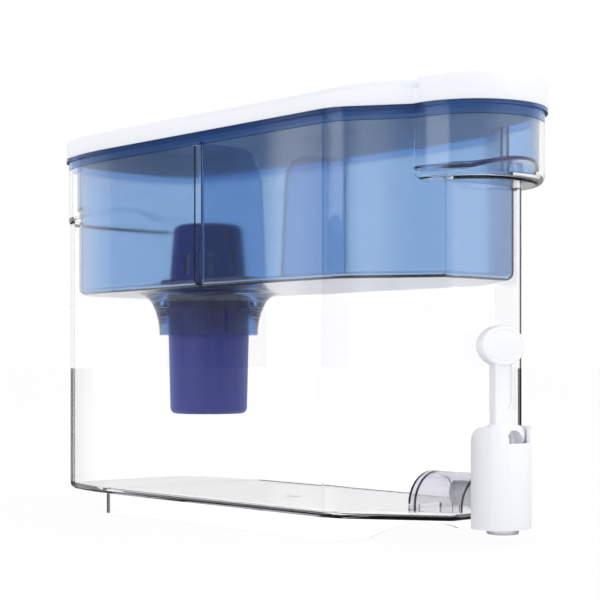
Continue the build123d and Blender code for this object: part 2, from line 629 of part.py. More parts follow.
def tap_housing():
    """White shroud round the valve, open at the back, with a flared slot for the lever's hub."""
    shell = prism(housing_plan(), HOUSING_BOTTOM_Z, HOUSING_TOP_Z)
    hollow = prism(housing_plan(HOUSING_WALL), BARREL_BOTTOM_Z, HOUSING_TOP_Z + OVER)
    shell -= hollow
    back_top = shell.edges().filter_by(Axis.X).group_by(Axis.Z)[-1].group_by(Axis.Y)[-1]
    shell = fillet(back_top, HOUSING_SHOULDER_RADIUS)
    inner_half = HOUSING_HALF_WIDTH - HOUSING_WALL
    flare_z = HOUSING_TOP_Z - SLOT_BOTTOM_Z
    right = EllipticalCenterArc((inner_half, 0), inner_half - SLOT_HALF_WIDTH, flare_z,
                                start_angle=90, arc_size=90)
    left = right.mirror(Plane.YZ)
    top = Polyline((inner_half, flare_z), (inner_half, flare_z + OVER), (-inner_half, flare_z + OVER),
                   (-inner_half, flare_z))
    slot = make_face([Line((-SLOT_HALF_WIDTH, 0), (SLOT_HALF_WIDTH, 0)), right, left] + top.edges())
    plane = Plane(origin=(0, TAP_Y, SLOT_BOTTOM_Z), x_dir=(1, 0, 0), z_dir=(0, -1, 0))
    shell -= extrude(plane * slot, amount=HOUSING_DEPTH)
    mouth = NOZZLE_RADIUS + NOZZLE_CLEARANCE
    return shell - rod(mouth, HOUSING_WALL + 2 * OVER, (0, TAP_Y, HOUSING_BOTTOM_Z - OVER))


def tap_body():
    """Valve barrel with its threaded shank and the flange that presses the outer gasket."""
    barrel = rod(BARREL_RADIUS, BARREL_TOP_Z - BARREL_BOTTOM_Z, (0, TAP_Y, BARREL_BOTTOM_Z))
    shank = rod(SHANK_RADIUS, TAP_AXIS_OUT + SHANK_REACH, (0, TAP_Y, SHANK_Z), (0, 1, 0))
    flange_y = TANK_FRONT_Y - GASKET_THICKNESS - SHANK_FLANGE
    flange = rod(SHANK_FLANGE_RADIUS, SHANK_FLANGE, (0, flange_y, SHANK_Z), (0, 1, 0))
    trim = rod(BARREL_RADIUS, TAP_AXIS_OUT, (0, TAP_Y, SHANK_Z), (0, 1, 0))
    barrel_only = barrel - prism(Pos(0, TANK_FRONT_Y - GASKET_THICKNESS + TAP_AXIS_OUT)
                                 * Rectangle(4 * BARREL_RADIUS, 2 * TAP_AXIS_OUT),
                                 SHANK_Z - SHANK_FLANGE_RADIUS, SHANK_Z + SHANK_FLANGE_RADIUS)
    neck = trim & prism(Pos(0, (TAP_Y + flange_y + SHANK_FLANGE) / 2)
                        * Rectangle(2 * BARREL_RADIUS, flange_y + SHANK_FLANGE - TAP_Y), 0, BARREL_TOP_Z)
    body = barrel_only + neck + shank + flange
    body -= rod(BARREL_BORE, BARREL_TOP_Z, (0, TAP_Y, BARREL_BOTTOM_Z - OVER))
    return body - rod(SHANK_BORE, TAP_AXIS_OUT + SHANK_REACH + OVER, (0, TAP_Y, SHANK_Z), (0, 1, 0))


def ring_on_shank(radius, thickness, start_y):
    """A flat ring round the shank."""
    ring = rod(radius, thickness, (0, start_y, SHANK_Z), (0, 1, 0))
    return ring - rod(SHANK_RADIUS, thickness, (0, start_y, SHANK_Z), (0, 1, 0))


def outer_gasket():
    """Rubber gasket between the shank's flange and the tank's front panel."""
    return ring_on_shank(GASKET_RADIUS, GASKET_THICKNESS, TANK_FRONT_Y - GASKET_THICKNESS)


def inner_washer():
    """Rubber washer inside the tank, under the nut."""
    return ring_on_shank(WASHER_RADIUS, WASHER_THICKNESS, TANK_INNER_FRONT_Y)


def shank_nut():
    """Hexagonal nut that clamps the tap to the panel."""
    start = (0, TANK_INNER_FRONT_Y + WASHER_THICKNESS, SHANK_Z)
    hexagon = RegularPolygon(NUT_ACROSS_FLATS / 2, 6, major_radius=False, rotation=30)
    nut = extrude(Plane(origin=start, x_dir=(1, 0, 0), z_dir=(0, 1, 0)) * hexagon, amount=NUT_LENGTH)
    return nut - rod(SHANK_RADIUS, NUT_LENGTH, start, (0, 1, 0))


def spout_nozzle():
    """Outlet ring pressed into the foot of the barrel; its top edge is the valve seat."""
    centre = rod(BARREL_BORE, SEAT_Z - NOZZLE_BOTTOM_Z, (0, TAP_Y, NOZZLE_BOTTOM_Z))
    collar_part = rod(NOZZLE_RADIUS, BARREL_BOTTOM_Z - NOZZLE_BOTTOM_Z, (0, TAP_Y, NOZZLE_BOTTOM_Z))
    collar_part = fillet(lowest_edges(collar_part), NOZZLE_EDGE_RADIUS)
    mouth = rod(NOZZLE_MOUTH, HOUSING_BOTTOM_Z - NOZZLE_BOTTOM_Z, (0, TAP_Y, NOZZLE_BOTTOM_Z))
    return centre + collar_part - mouth - rod(NOZZLE_BORE, SEAT_Z, (0, TAP_Y, NOZZLE_BOTTOM_Z))


def valve_bonnet():
    """Cap of the barrel: it guides the stem, and the lever's cam bears on its top."""
    bonnet = rod(BARREL_RADIUS, BONNET_THICKNESS, (0, TAP_Y, BARREL_TOP_Z))
    bonnet += rod(BARREL_BORE, BONNET_SPIGOT + OVER, (0, TAP_Y, BARREL_TOP_Z - BONNET_SPIGOT))
    bonnet -= rod(STEM_RADIUS + STEM_GUIDE_CLEARANCE, BARREL_TOP_Z, (0, TAP_Y, BARREL_BOTTOM_Z))
    groove_radius = STEM_RADIUS + O_RING_CLEARANCE + 2 * O_RING_SECTION
    return bonnet - rod(groove_radius, 2 * O_RING_SECTION, (0, TAP_Y, BARREL_TOP_Z - 2 * O_RING_SECTION))


def stem_o_ring():
    """O-ring in the bonnet, round the stem."""
    centre_radius = STEM_RADIUS + O_RING_CLEARANCE + O_RING_SECTION
    return Pos(0, TAP_Y, BARREL_TOP_Z - O_RING_SECTION) * Torus(centre_radius, O_RING_SECTION)


def hood_form(grow, start_y, length):
    """The hood's outer or inner form: a round-topped tunnel on the tank's floor."""
    radius = HOOD_RADIUS + grow
    centre_z = HOOD_TOP_Z - HOOD_RADIUS
    wall_height = centre_z - TANK_FLOOR_Z
    side = Polyline((-radius, 0), (-radius, -wall_height), (radius, -wall_height), (radius, 0))
    face = make_face(side.edges() + [CenterArc((0, 0), radius, 0, 180)])
    plane = Plane(origin=(0, start_y, centre_z), x_dir=(-1, 0, 0), z_dir=(0, 1, 0))
    return extrude(plane * face, amount=length)


def hood_start():
    """Where the hood starts, just clear of the front wall's floor round."""
    return TANK_INNER_FRONT_Y + HOOD_START_GAP


def inlet_hood():
    """Clear half-round hood over the shank's inner end, with a ring groove and a floor inlet."""
    start = hood_start()
    hood = hood_form(0, start, HOOD_LENGTH)
    far = start + HOOD_LENGTH
    end_arc = hood.edges().group_by(Axis.Y)[-1].filter_by(GeomType.CIRCLE)
    hood = fillet(end_arc, HOOD_WALL)
    hood -= hood_form(-HOOD_WALL, start - OVER, HOOD_LENGTH - HOOD_WALL + OVER)
    groove_y = far - HOOD_GROOVE_BACK
    groove = hood_form(OVER, groove_y, HOOD_RING_SECTION)
    groove -= hood_form(-HOOD_WALL / 2, groove_y, HOOD_RING_SECTION)
    hood -= groove
    inlet = prism(Pos(0, far) * Rectangle(HOOD_INLET_WIDTH, 4 * HOOD_WALL),
                  TANK_FLOOR_Z - OVER, TANK_FLOOR_Z + HOOD_INLET_HEIGHT)
    return hood - inlet


def hood_ring():
    """Dark retaining band in the hood's groove."""
    groove_y = hood_start() + HOOD_LENGTH - HOOD_GROOVE_BACK
    band = hood_form(0, groove_y, HOOD_RING_SECTION)
    return band - hood_form(-HOOD_WALL / 2, groove_y, HOOD_RING_SECTION)


# ---------------------------------------------------------------- tap, moving parts
def valve_stem():
    """Stem with a collar for the spring, and a flat round-topped head for the lever pin."""
    stem = rod(STEM_RADIUS, PIVOT_Z - SEAT_Z - OVER, (0, TAP_Y, SEAT_Z + OVER))
    stem += rod(STEM_COLLAR_RADIUS, STEM_COLLAR, (0, TAP_Y, STEM_FOOT_Z))
    head_bottom = BONNET_TOP_Z + OVER
    foot = head_bottom - PIVOT_Z
    side = Polyline((-HEAD_RADIUS, 0), (-HEAD_RADIUS, foot), (HEAD_RADIUS, foot), (HEAD_RADIUS, 0))
    face = make_face(side.edges() + [CenterArc((0, 0), HEAD_RADIUS, 0, 180)])
    plane = Plane(origin=(-HEAD_HALF_WIDTH, TAP_Y, PIVOT_Z), x_dir=(0, 1, 0), z_dir=(1, 0, 0))
    stem += extrude(plane * face, amount=2 * HEAD_HALF_WIDTH)
    return stem - rod(PIN_RADIUS, 2 * PIN_HALF_LENGTH, (-PIN_HALF_LENGTH, TAP_Y, PIVOT_Z), (1, 0, 0))


def valve_seal():
    """Silicone plug on the foot of the stem, which closes the seat."""
    top_radius = SEAL_PLUG_RADIUS - OVER
    shoulder_z = SEAT_Z + SEAL_PLUG_HEIGHT / 2
    plug = turned([
        (0, SEAT_Z), (SEAL_PLUG_RADIUS, SEAT_Z), (SEAL_PLUG_RADIUS, shoulder_z), (top_radius, STEM_FOOT_Z),
        (0, STEM_FOOT_Z),
    ], TAP_Y)
    return plug - rod(STEM_RADIUS, SEAL_PLUG_HEIGHT, (0, TAP_Y, SEAT_Z + OVER))


def valve_spring():
    """Compression spring between the stem's collar and the bonnet."""
    bottom = STEM_FOOT_Z + STEM_COLLAR + SPRING_WIRE
    top = BARREL_TOP_Z - BONNET_SPIGOT - SPRING_WIRE
    path = Helix(pitch=(top - bottom) / SPRING_TURNS, height=top - bottom, radius=SPRING_RADIUS)
    section = Plane(origin=path @ 0, z_dir=path % 0) * RegularPolygon(SPRING_WIRE, 8)
    return Pos(0, TAP_Y, bottom) * sweep(section, path=path, is_frenet=True)


def lever_pin():
    """Steel pin through the stem's head and both cheeks of the lever."""
    return rod(PIN_RADIUS, 2 * PIN_HALF_LENGTH, (-PIN_HALF_LENGTH, TAP_Y, PIVOT_Z), (1, 0, 0))


def cam_point(angle):
    """A point of the cam, y forward negative, about the pin: an involute rises evenly with the tilt."""
    depth = CAM_DEPTH + CAM_RATE * angle
    return (-depth * sin(angle) - CAM_RATE * cos(angle), -depth * cos(angle) + CAM_RATE * sin(angle))


def across(face, half_width):
    """A face drawn about the pin, y to the right and z up, made a solid of equal reach each way."""
    plane = Plane(origin=(-half_width, TAP_Y, PIVOT_Z), x_dir=(0, 1, 0), z_dir=(1, 0, 0))
    return extrude(plane * face, amount=2 * half_width)


def cam_side(back_y, top_z):
    """The cam's side view: flat under the pin at rest, then the involute, then straight up."""
    tilt = radians(LEVER_TILT)
    toe = cam_point(tilt)
    curve = Spline(cam_point(0), cam_point(tilt / 3), cam_point(2 * tilt / 3), toe)
    outline = Polyline(toe, (toe[0], top_z), (back_y, top_z), (back_y, -CAM_DEPTH), cam_point(0))
    return make_face([curve] + outline.edges())


def lever_hub():
    """Crowned hub: two cheeks round the stem's head, with the cam under them."""
    crown = ThreePointArc((-HUB_HALF_WIDTH, HUB_END_RADIUS), (0, HUB_RADIUS),
                          (HUB_HALF_WIDTH, HUB_END_RADIUS))
    outline = Polyline((HUB_HALF_WIDTH, HUB_END_RADIUS), (HUB_HALF_WIDTH, 0), (-HUB_HALF_WIDTH, 0),
                       (-HUB_HALF_WIDTH, HUB_END_RADIUS))
    profile = make_face([crown] + outline.edges())
    drum = revolve(Plane(origin=(0, TAP_Y, PIVOT_Z), x_dir=(1, 0, 0), z_dir=(0, -1, 0)) * profile,
                   Axis((0, TAP_Y, PIVOT_Z), (1, 0, 0)))
    drum &= across(cam_side(2 * HUB_RADIUS, 2 * HUB_RADIUS), 2 * HUB_HALF_WIDTH)
    hub = drum + across(cam_side(HEAD_RADIUS + OVER, 0), CAM_HALF_WIDTH)
    return hub


def fork_side():
    """Side view of the gap that the stem's head needs between the cheeks over the whole tilt."""
    tilt = radians(LEVER_TILT)
    reach = HEAD_RADIUS + CAM_GAP
    front_top = (-reach * cos(tilt), reach * sin(tilt))
    far = 2 * HUB_RADIUS
    front_far = (front_top[0] - far * sin(tilt), front_top[1] - far * cos(tilt))
    outline = Polyline((reach, 0), (reach, -far), (front_far[0], -far), front_far, front_top, close=True)
    return make_face(outline) + Circle(reach)


def lever_blade():
    """The lever's stem and oval paddle, rounded, with a shallow thumb groove in front."""
    back = TANK_FRONT_Y - LEVER_STEM_BACK_OUT
    bottom = PIVOT_Z + HUB_RADIUS / 2
    plane = Plane(origin=(0, back, 0), x_dir=(1, 0, 0), z_dir=(0, -1, 0))
    strip = Pos(0, (bottom + PADDLE_Z) / 2) * Rectangle(LEVER_STEM_WIDTH, PADDLE_Z - bottom)
    stem = extrude(plane * strip, amount=LEVER_STEM_THICKNESS)
    stem = fillet(stem.edges().filter_by(Axis.Z), OVER)
    paddle_centre = (0, TANK_FRONT_Y - PADDLE_BACK_OUT, PADDLE_Z)
    paddle_plane = Plane(origin=paddle_centre, x_dir=(1, 0, 0), z_dir=(0, -1, 0))
    paddle = extrude(paddle_plane * Ellipse(PADDLE_WIDTH / 2, PADDLE_HEIGHT / 2), amount=PADDLE_THICKNESS)
    paddle = fillet(paddle.edges().filter_by(GeomType.ELLIPSE), PADDLE_EDGE_RADIUS)
    groove_top = PADDLE_Z
    slot_height = groove_top - GROOVE_BOTTOM_Z + GROOVE_WIDTH / 2
    slot = Pos(0, GROOVE_BOTTOM_Z + slot_height / 2) * SlotOverall(slot_height, GROOVE_WIDTH, rotation=90)
    groove = extrude(plane.offset(LEVER_STEM_THICKNESS - GROOVE_DEPTH) * slot, amount=GROOVE_DEPTH + OVER)
    return stem - groove + paddle


def lever():
    """White lever: hub with cam, stem and paddle."""
    body = lever_hub() + lever_blade()
    body -= across(fork_side(), FORK_HALF_GAP)
    arch_height = ARCH_TOP_Z - SLOT_BOTTOM_Z + OVER
    arch = EllipticalCenterArc((0, 0), ARCH_HALF_WIDTH, arch_height, start_angle=0, arc_size=180)
    window = make_face([arch, Line((-ARCH_HALF_WIDTH, 0), (ARCH_HALF_WIDTH, 0))])
    front = Plane(origin=(0, TAP_Y - HUB_RADIUS + ARCH_DEPTH, SLOT_BOTTOM_Z - OVER), x_dir=(1, 0, 0),
                  z_dir=(0, -1, 0))
    body -= extrude(front * window, amount=HUB_RADIUS)
    bore = PIN_RADIUS + PIN_CLEARANCE
    return body - rod(bore, 2 * PIN_HALF_LENGTH, (-PIN_HALF_LENGTH, TAP_Y, PIVOT_Z), (1, 0, 0))


PIECES = (
    tank, reservoir, filter_body, filter_cap, outlet_screen, filter_media, inlet_screen, filter_seal, lid,
    tap_housing, tap_body, outer_gasket, inner_washer, shank_nut, spout_nozzle, valve_bonnet, stem_o_ring,
    inlet_hood, hood_ring, valve_stem, valve_seal, valve_spring, lever_pin, lever,
)

if __name__ == "__main__":
    os.makedirs("parts", exist_ok=True)
    for make in PIECES:
        export_step(make(), f"parts/{make.__name__}.step")
        print(make.__name__, "written")
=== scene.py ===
"""Looks of a gravity water filter for a refrigerator shelf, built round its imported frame.

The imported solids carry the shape. This script gives each of them its finish, adds the small moulded and
turned details that the solids leave out, and sets up a plain studio. Metres, +Z up, the tap faces -Y.
"""
import json
import logging
import math
from collections.abc import Callable
from dataclasses import dataclass
from enum import Enum

import bpy
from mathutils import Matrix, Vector


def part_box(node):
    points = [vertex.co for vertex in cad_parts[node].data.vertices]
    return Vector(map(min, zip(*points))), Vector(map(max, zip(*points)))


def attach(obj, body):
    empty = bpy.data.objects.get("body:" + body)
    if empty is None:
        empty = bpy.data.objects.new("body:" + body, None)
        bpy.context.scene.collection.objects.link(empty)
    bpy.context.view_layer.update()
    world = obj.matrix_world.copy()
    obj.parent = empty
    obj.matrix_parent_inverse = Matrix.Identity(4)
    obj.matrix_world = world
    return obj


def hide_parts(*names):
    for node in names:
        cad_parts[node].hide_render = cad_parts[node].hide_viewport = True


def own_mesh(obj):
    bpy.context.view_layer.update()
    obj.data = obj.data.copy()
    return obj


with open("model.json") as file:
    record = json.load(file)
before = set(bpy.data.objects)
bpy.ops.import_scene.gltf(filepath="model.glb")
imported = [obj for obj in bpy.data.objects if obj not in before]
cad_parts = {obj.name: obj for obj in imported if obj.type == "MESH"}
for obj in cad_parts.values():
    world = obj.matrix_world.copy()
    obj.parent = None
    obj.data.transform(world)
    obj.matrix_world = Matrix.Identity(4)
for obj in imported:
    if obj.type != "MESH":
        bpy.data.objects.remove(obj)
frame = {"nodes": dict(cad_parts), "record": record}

logging.basicConfig(level=logging.INFO, format="%(message)s")
LOG = logging.getLogger("dispenser")

Colour = tuple[float, float, float]
Pair = tuple[float, float]
Term = bpy.types.NodeSocket | float | tuple[float, ...]
MM = 0.001
MERGE_GAP = 0.001 * MM


class Body(str, Enum):
    """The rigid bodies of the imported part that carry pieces."""

    DISPENSER = "dispenser"
    RESERVOIR = "reservoir"
    FILTER = "filter"
    LID = "lid"
    VALVE = "valve"
    LEVER = "lever"


# ---------------------------------------------------------------- node graphs
class Mixed(Enum):
    """What is mixed: the node's type and settings, its mask, low and high inputs, and its output."""

    NUMBERS = ("ShaderNodeMix", {"data_type": "FLOAT"}, (0, 2, 3), 0)
    COLOURS = ("ShaderNodeMix", {"data_type": "RGBA"}, (0, 6, 7), 2)
    SHADERS = ("ShaderNodeMixShader", {}, (0, 1, 2), 0)


def opaque(colour: Colour) -> tuple[float, float, float, float]:
    """Adds full opacity to a colour."""
    return (*colour, 1.0)


def fill(node: bpy.types.Node, values: dict[str, object]) -> None:
    """Sets a node's inputs by name."""
    for name, value in values.items():
        node.inputs[name].default_value = value


class Graph:
    """A node tree with short calls to add nodes and join sockets."""

    def __init__(self, tree: bpy.types.NodeTree) -> None:
        """Clears the tree and keeps it."""
        self.tree = tree
        tree.nodes.clear()

    def add(self, kind: str, **settings: object) -> bpy.types.Node:
        """Adds a node.

        Args:
            kind: the node's type name.
            settings: values for the node's properties, or for its inputs by their spelled-out names.

        Returns:
            The new node.
        """
        node = self.tree.nodes.new(kind)
        for key, value in settings.items():
            if hasattr(node, key):
                setattr(node, key, value)
            else:
                node.inputs[key.replace("_", " ").title()].default_value = value
        return node

    def place_group(self, name: str, **values: float) -> bpy.types.Node:
        """Adds a node group with its own values."""
        return self.add("ShaderNodeGroup", node_tree=bpy.data.node_groups[name], **values)

    def join(self, source: Term, target: bpy.types.NodeSocket) -> None:
        """Links an output to an input, or sets the input to a plain value.

        Args:
            source: the output, number or colour.
            target: the input.
        """
        if isinstance(source, bpy.types.NodeSocket):
            self.tree.links.new(source, target)
        else:
            target.default_value = source

    def calculate(self, operation: str, *terms: Term) -> bpy.types.NodeSocket:
        """Adds a math node.

        Args:
            operation: the node's operation.
            terms: its inputs in order.

        Returns:
            The result.
        """
        node = self.add("ShaderNodeMath", operation=operation)
        for term, socket in zip(terms, node.inputs):
            self.join(term, socket)
        return node.outputs[0]

    def mix_values(self, low: float, high: float, mask: bpy.types.NodeSocket) -> bpy.types.NodeSocket:
        """Spreads a mask over a range.

        Args:
            low: the value where the mask is 0.
            high: the value where the mask is 1.
            mask: the mask.

        Returns:
            The value.
        """
        node = self.add("ShaderNodeMapRange", to_min=low, to_max=high)
        self.join(mask, node.inputs["Value"])
        return node.outputs["Result"]

    def mix(self, mixed: Mixed, mask: Term, low: Term, high: Term) -> bpy.types.NodeSocket:
        """Mixes two numbers, colours or shaders.

        Args:
            mixed: which of these.
            mask: 0 gives the low one and 1 the high one.
            low: one of them.
            high: the other.

        Returns:
            The mixture.
        """
        kind, settings, places, result = mixed.value
        node = self.add(kind, **settings)
        for term, place in zip((mask, low, high), places):
            self.join(term, node.inputs[place])
        return node.outputs[result]


def new_group(name: str, inputs: dict[str, float], outputs: tuple[str, ...]) -> tuple[Graph, dict, dict]:
    """Starts a shader node group with named sockets, all of them numbers.

    Args:
        name: the group's name.
        inputs: each input's name and default value.
        outputs: each output's name.

    Returns:
        The group's graph, its input sockets by name and its output sockets by name.
    """
    tree = bpy.data.node_groups.new(name, "ShaderNodeTree")
    for label, value in inputs.items():
        made = tree.interface.new_socket(label, in_out="INPUT", socket_type="NodeSocketFloat")
        made.default_value = value
    for label in outputs:
        tree.interface.new_socket(label, in_out="OUTPUT", socket_type="NodeSocketFloat")
    graph = Graph(tree)
    start = graph.add("NodeGroupInput")
    end = graph.add("NodeGroupOutput")
    return graph, {k: start.outputs[k] for k in inputs}, {k: end.inputs[k] for k in outputs}


def mould_grain_group(sink_strength: float = 4.0) -> bpy.types.NodeTree:
    """Builds the fine relief and uneven gloss of injection-moulded plastic.

    Args:
        sink_strength: how much deeper the broad sinks are than the grain.

    Returns:
        The node group: Grain Size and Sink Size in, Relief and Gloss Mask out.
    """
    graph, given, out = new_group(
        "mould_grain", {"Grain Size": 900.0, "Sink Size": 18.0}, ("Relief", "Gloss Mask"),
    )
    place = graph.add("ShaderNodeTexCoord").outputs["Object"]
    grain = graph.add("ShaderNodeTexNoise", detail=3.0)
    sink = graph.add("ShaderNodeTexNoise", detail=2.0)
    for node, size in ((grain, "Grain Size"), (sink, "Sink Size")):
        graph.join(place, node.inputs["Vector"])
        graph.join(given[size], node.inputs["Scale"])
    relief = graph.calculate("MULTIPLY_ADD", sink.outputs["Fac"], sink_strength, grain.outputs["Fac"])
    graph.join(relief, out["Relief"])
    graph.join(sink.outputs["Fac"], out["Gloss Mask"])
    return graph.tree


def handling_group(clean_below: float = 0.52, marked_above: float = 0.78) -> bpy.types.NodeTree:
    """Builds the faint scuffs and finger marks that handling leaves on glossy plastic.

    Args:
        clean_below: noise under this leaves the surface clean.
        marked_above: noise over this marks it fully.

    Returns:
        The node group: Mark Size in, Marks out, 0 where clean and 1 where marked.
    """
    graph, given, out = new_group("handling_marks", {"Mark Size": 30.0}, ("Marks",))
    smear = graph.add("ShaderNodeTexNoise", detail=6.0, distortion=1.2)
    graph.join(graph.add("ShaderNodeTexCoord").outputs["Object"], smear.inputs["Vector"])
    graph.join(given["Mark Size"], smear.inputs["Scale"])
    ramp = graph.add("ShaderNodeMapRange", from_min=clean_below, from_max=marked_above)
    graph.join(smear.outputs["Fac"], ramp.inputs["Value"])
    graph.join(ramp.outputs["Result"], out["Marks"])
    return graph.tree


# ---------------------------------------------------------------- finishes
class Coat(Graph):
    """The graph of a finish's material, with its Principled shader and its output."""

    def __init__(self, finish: "Finish") -> None:
        """Makes the material with the finish's colour and roughness.

        Args:
            finish: the finish.
        """
        self.finish = finish
        self.material = bpy.data.materials.new(finish.title)
        self.material.use_nodes = True
        super().__init__(self.material.node_tree)
        self.shader = self.add("ShaderNodeBsdfPrincipled")
        fill(self.shader, {"Base Color": opaque(finish.colour), "Roughness": finish.roughness})
        self.output = self.add("ShaderNodeOutputMaterial")
        self.join(self.shader.outputs["BSDF"], self.output.inputs["Surface"])

    def relief(self, height: bpy.types.NodeSocket, depth: float) -> None:
        """Feeds a height through a bump node into the shader.

        Args:
            height: the height field's output.
            depth: the relief's full depth in metres.
        """
        bump = self.add("ShaderNodeBump", distance=depth)
        self.join(height, bump.inputs["Height"])
        self.join(bump.outputs["Normal"], self.shader.inputs["Normal"])

    def roughen(self, mask: bpy.types.NodeSocket, rise: float) -> None:
        """Makes the masked areas rougher.

        Args:
            mask: 1 where the surface is roughest.
            rise: how much rougher it is there.
        """
        rough = self.mix_values(self.finish.roughness, self.finish.roughness + rise, mask)
        self.join(rough, self.shader.inputs["Roughness"])

    def vary(self, mask: bpy.types.NodeSocket, low: Colour, high: Colour) -> None:
        """Spreads two colours over the surface.

        Args:
            mask: 0 where the low one is and 1 where the high one is.
            low: one colour.
            high: the other.
        """
        colour = self.mix(Mixed.COLOURS, mask, opaque(low), opaque(high))
        self.join(colour, self.shader.inputs["Base Color"])


@dataclass(frozen=True)
class Finish:
    """A finish that dresses solids and pieces.

    Attributes:
        slot: the record's material slot.
        colour: the surface colour, linear.
        roughness: the lowest roughness.
    """

    slot: str
    colour: Colour
    roughness: float

    @property
    def title(self) -> str:
        """The material's name."""
        return self.slot + "_finish"

    def build(self) -> bpy.types.Material:
        """Builds the material.

        Returns:
            The material.
        """
        coat = Coat(self)
        self.lay(coat)
        return coat.material

    def lay(self, coat: Coat) -> None:
        """Adds what sets a kind of finish apart, which each kind does in its own way."""
        raise NotImplementedError


@dataclass(frozen=True)
class MouldedPlastic(Finish):
    """Opaque moulded plastic with fine grain and faint marks.

    Attributes:
        marked: the colour under finger marks.
        ior: its index of refraction.
        rise: how much rougher the sunk areas are.
        grain_depth: depth of the grain in metres.
        sheen: weight of the soft edge glow of a milky plastic.
        sheen_tint: its colour.
    """

    marked: Colour = (0.8, 0.8, 0.8)
    ior: float = 1.49
    rise: float = 0.12
    grain_depth: float = 0.00002
    sheen: float = 0.0
    sheen_tint: Colour = (1.0, 1.0, 1.0)

    def lay(self, coat: Coat) -> None:
        """Adds the grain, the marks and the sheen.

        Args:
            coat: the material's graph.
        """
        grain = coat.place_group("mould_grain")
        marks = coat.place_group("handling_marks")
        coat.vary(marks.outputs["Marks"], self.colour, self.marked)
        coat.roughen(grain.outputs["Gloss Mask"], self.rise)
        coat.relief(grain.outputs["Relief"], self.grain_depth)
        fill(coat.shader, {
            "IOR": self.ior, "Sheen Weight": self.sheen, "Sheen Tint": opaque(self.sheen_tint),
        })


@dataclass(frozen=True)
class ClearPlastic(Finish):
    """See-through plastic: each surface tints a little, and a long way through it darkens.

    Attributes:
        ior: its index of refraction.
        depth_colour: what is left of white light by the depth.
        depth: density of that depth colour, per metre.
        rise: how much rougher the handled areas are.
        wave_size: scale of the surface's waviness.
        wave_depth: its depth in metres.
    """

    ior: float = 1.46
    depth_colour: Colour = (0.6, 0.6, 0.62)
    depth: float = 20.0
    rise: float = 0.04
    wave_size: float = 9.0
    wave_depth: float = 0.00001

    def lay(self, coat: Coat) -> None:
        """Adds the clearness, the marks, the waviness, the tinted shadow and the depth colour.

        Args:
            coat: the material's graph.
        """
        fill(coat.shader, {"Transmission Weight": 1.0, "IOR": self.ior})
        waves = coat.place_group("mould_grain", sink_size=self.wave_size)
        marks = coat.place_group("handling_marks")
        coat.roughen(marks.outputs["Marks"], self.rise)
        coat.relief(waves.outputs["Gloss Mask"], self.wave_depth)
        through = coat.add("ShaderNodeBsdfTransparent")
        fill(through, {"Color": opaque(self.colour)})
        is_shadow = coat.add("ShaderNodeLightPath").outputs["Is Shadow Ray"]
        surface = coat.mix(Mixed.SHADERS, is_shadow, coat.shader.outputs["BSDF"], through.outputs["BSDF"])
        coat.join(surface, coat.output.inputs["Surface"])
        inside = coat.add("ShaderNodeVolumeAbsorption")
        fill(inside, {"Color": opaque(self.depth_colour), "Density": self.depth})
        coat.join(inside.outputs["Volume"], coat.output.inputs["Volume"])


@dataclass(frozen=True)
class SoftRubber(Finish):
    """Matt rubber with a dusty bloom.

    Attributes:
        bloom: the colour of the bloom.
        bloom_size: scale of its patches.
        grain_depth: depth of the grain in metres.
    """

    bloom: Colour = (0.2, 0.2, 0.2)
    bloom_size: float = 120.0
    grain_depth: float = 0.00004

    def lay(self, coat: Coat) -> None:
        """Adds the bloom and the grain.

        Args:
            coat: the material's graph.
        """
        grain = coat.place_group("mould_grain", sink_size=self.bloom_size)
        coat.vary(grain.outputs["Gloss Mask"], self.colour, self.bloom)
        coat.relief(grain.outputs["Relief"], self.grain_depth)


@dataclass(frozen=True)
class DrawnSteel(Finish):
    """Stainless wire or rod with fine lines along its length.

    Attributes:
        stretch: how the lines are stretched along X, Y and Z.
        rise: how much rougher the lines are.
        line_depth: their depth in metres.
    """

    stretch: tuple[float, float, float] = (40.0, 900.0, 900.0)
    rise: float = 0.2
    line_depth: float = 0.00002

    def lay(self, coat: Coat) -> None:
        """Adds the metal and its lines.

        Args:
            coat: the material's graph.
        """
        fill(coat.shader, {"Metallic": 1.0})
        turn = coat.add("ShaderNodeMapping")
        fill(turn, {"Scale": self.stretch})
        coat.join(coat.add("ShaderNodeTexCoord").outputs["Object"], turn.inputs["Vector"])
        lines = coat.add("ShaderNodeTexNoise", scale=1.0, detail=2.0)
        coat.join(turn.outputs["Vector"], lines.inputs["Vector"])
        coat.roughen(lines.outputs["Fac"], self.rise)
        coat.relief(lines.outputs["Fac"], self.line_depth)


@dataclass(frozen=True)
class Granules(Finish):
    """A packed bed of dark beads with pale ones among them.

    Attributes:
        pale: colour of the pale beads.
        dark_share: share of the beads that are dark.
        bead_scale: beads per metre.
        bead_depth: relief of a bead in metres.
    """

    pale: Colour = (0.5, 0.42, 0.3)
    dark_share: float = 0.7
    bead_scale: float = 900.0
    bead_depth: float = 0.0004

    def lay(self, coat: Coat) -> None:
        """Adds the beads.

        Args:
            coat: the material's graph.
        """
        beads = coat.add("ShaderNodeTexVoronoi", scale=self.bead_scale)
        coat.join(coat.add("ShaderNodeTexCoord").outputs["Object"], beads.inputs["Vector"])
        pick = coat.add("ShaderNodeSeparateColor")
        coat.join(beads.outputs["Color"], pick.inputs[0])
        is_pale = coat.calculate("GREATER_THAN", pick.outputs[0], self.dark_share)
        coat.vary(is_pale, self.colour, self.pale)
        dome = coat.calculate("SUBTRACT", 1.0, beads.outputs["Distance"])
        coat.relief(dome, self.bead_depth)


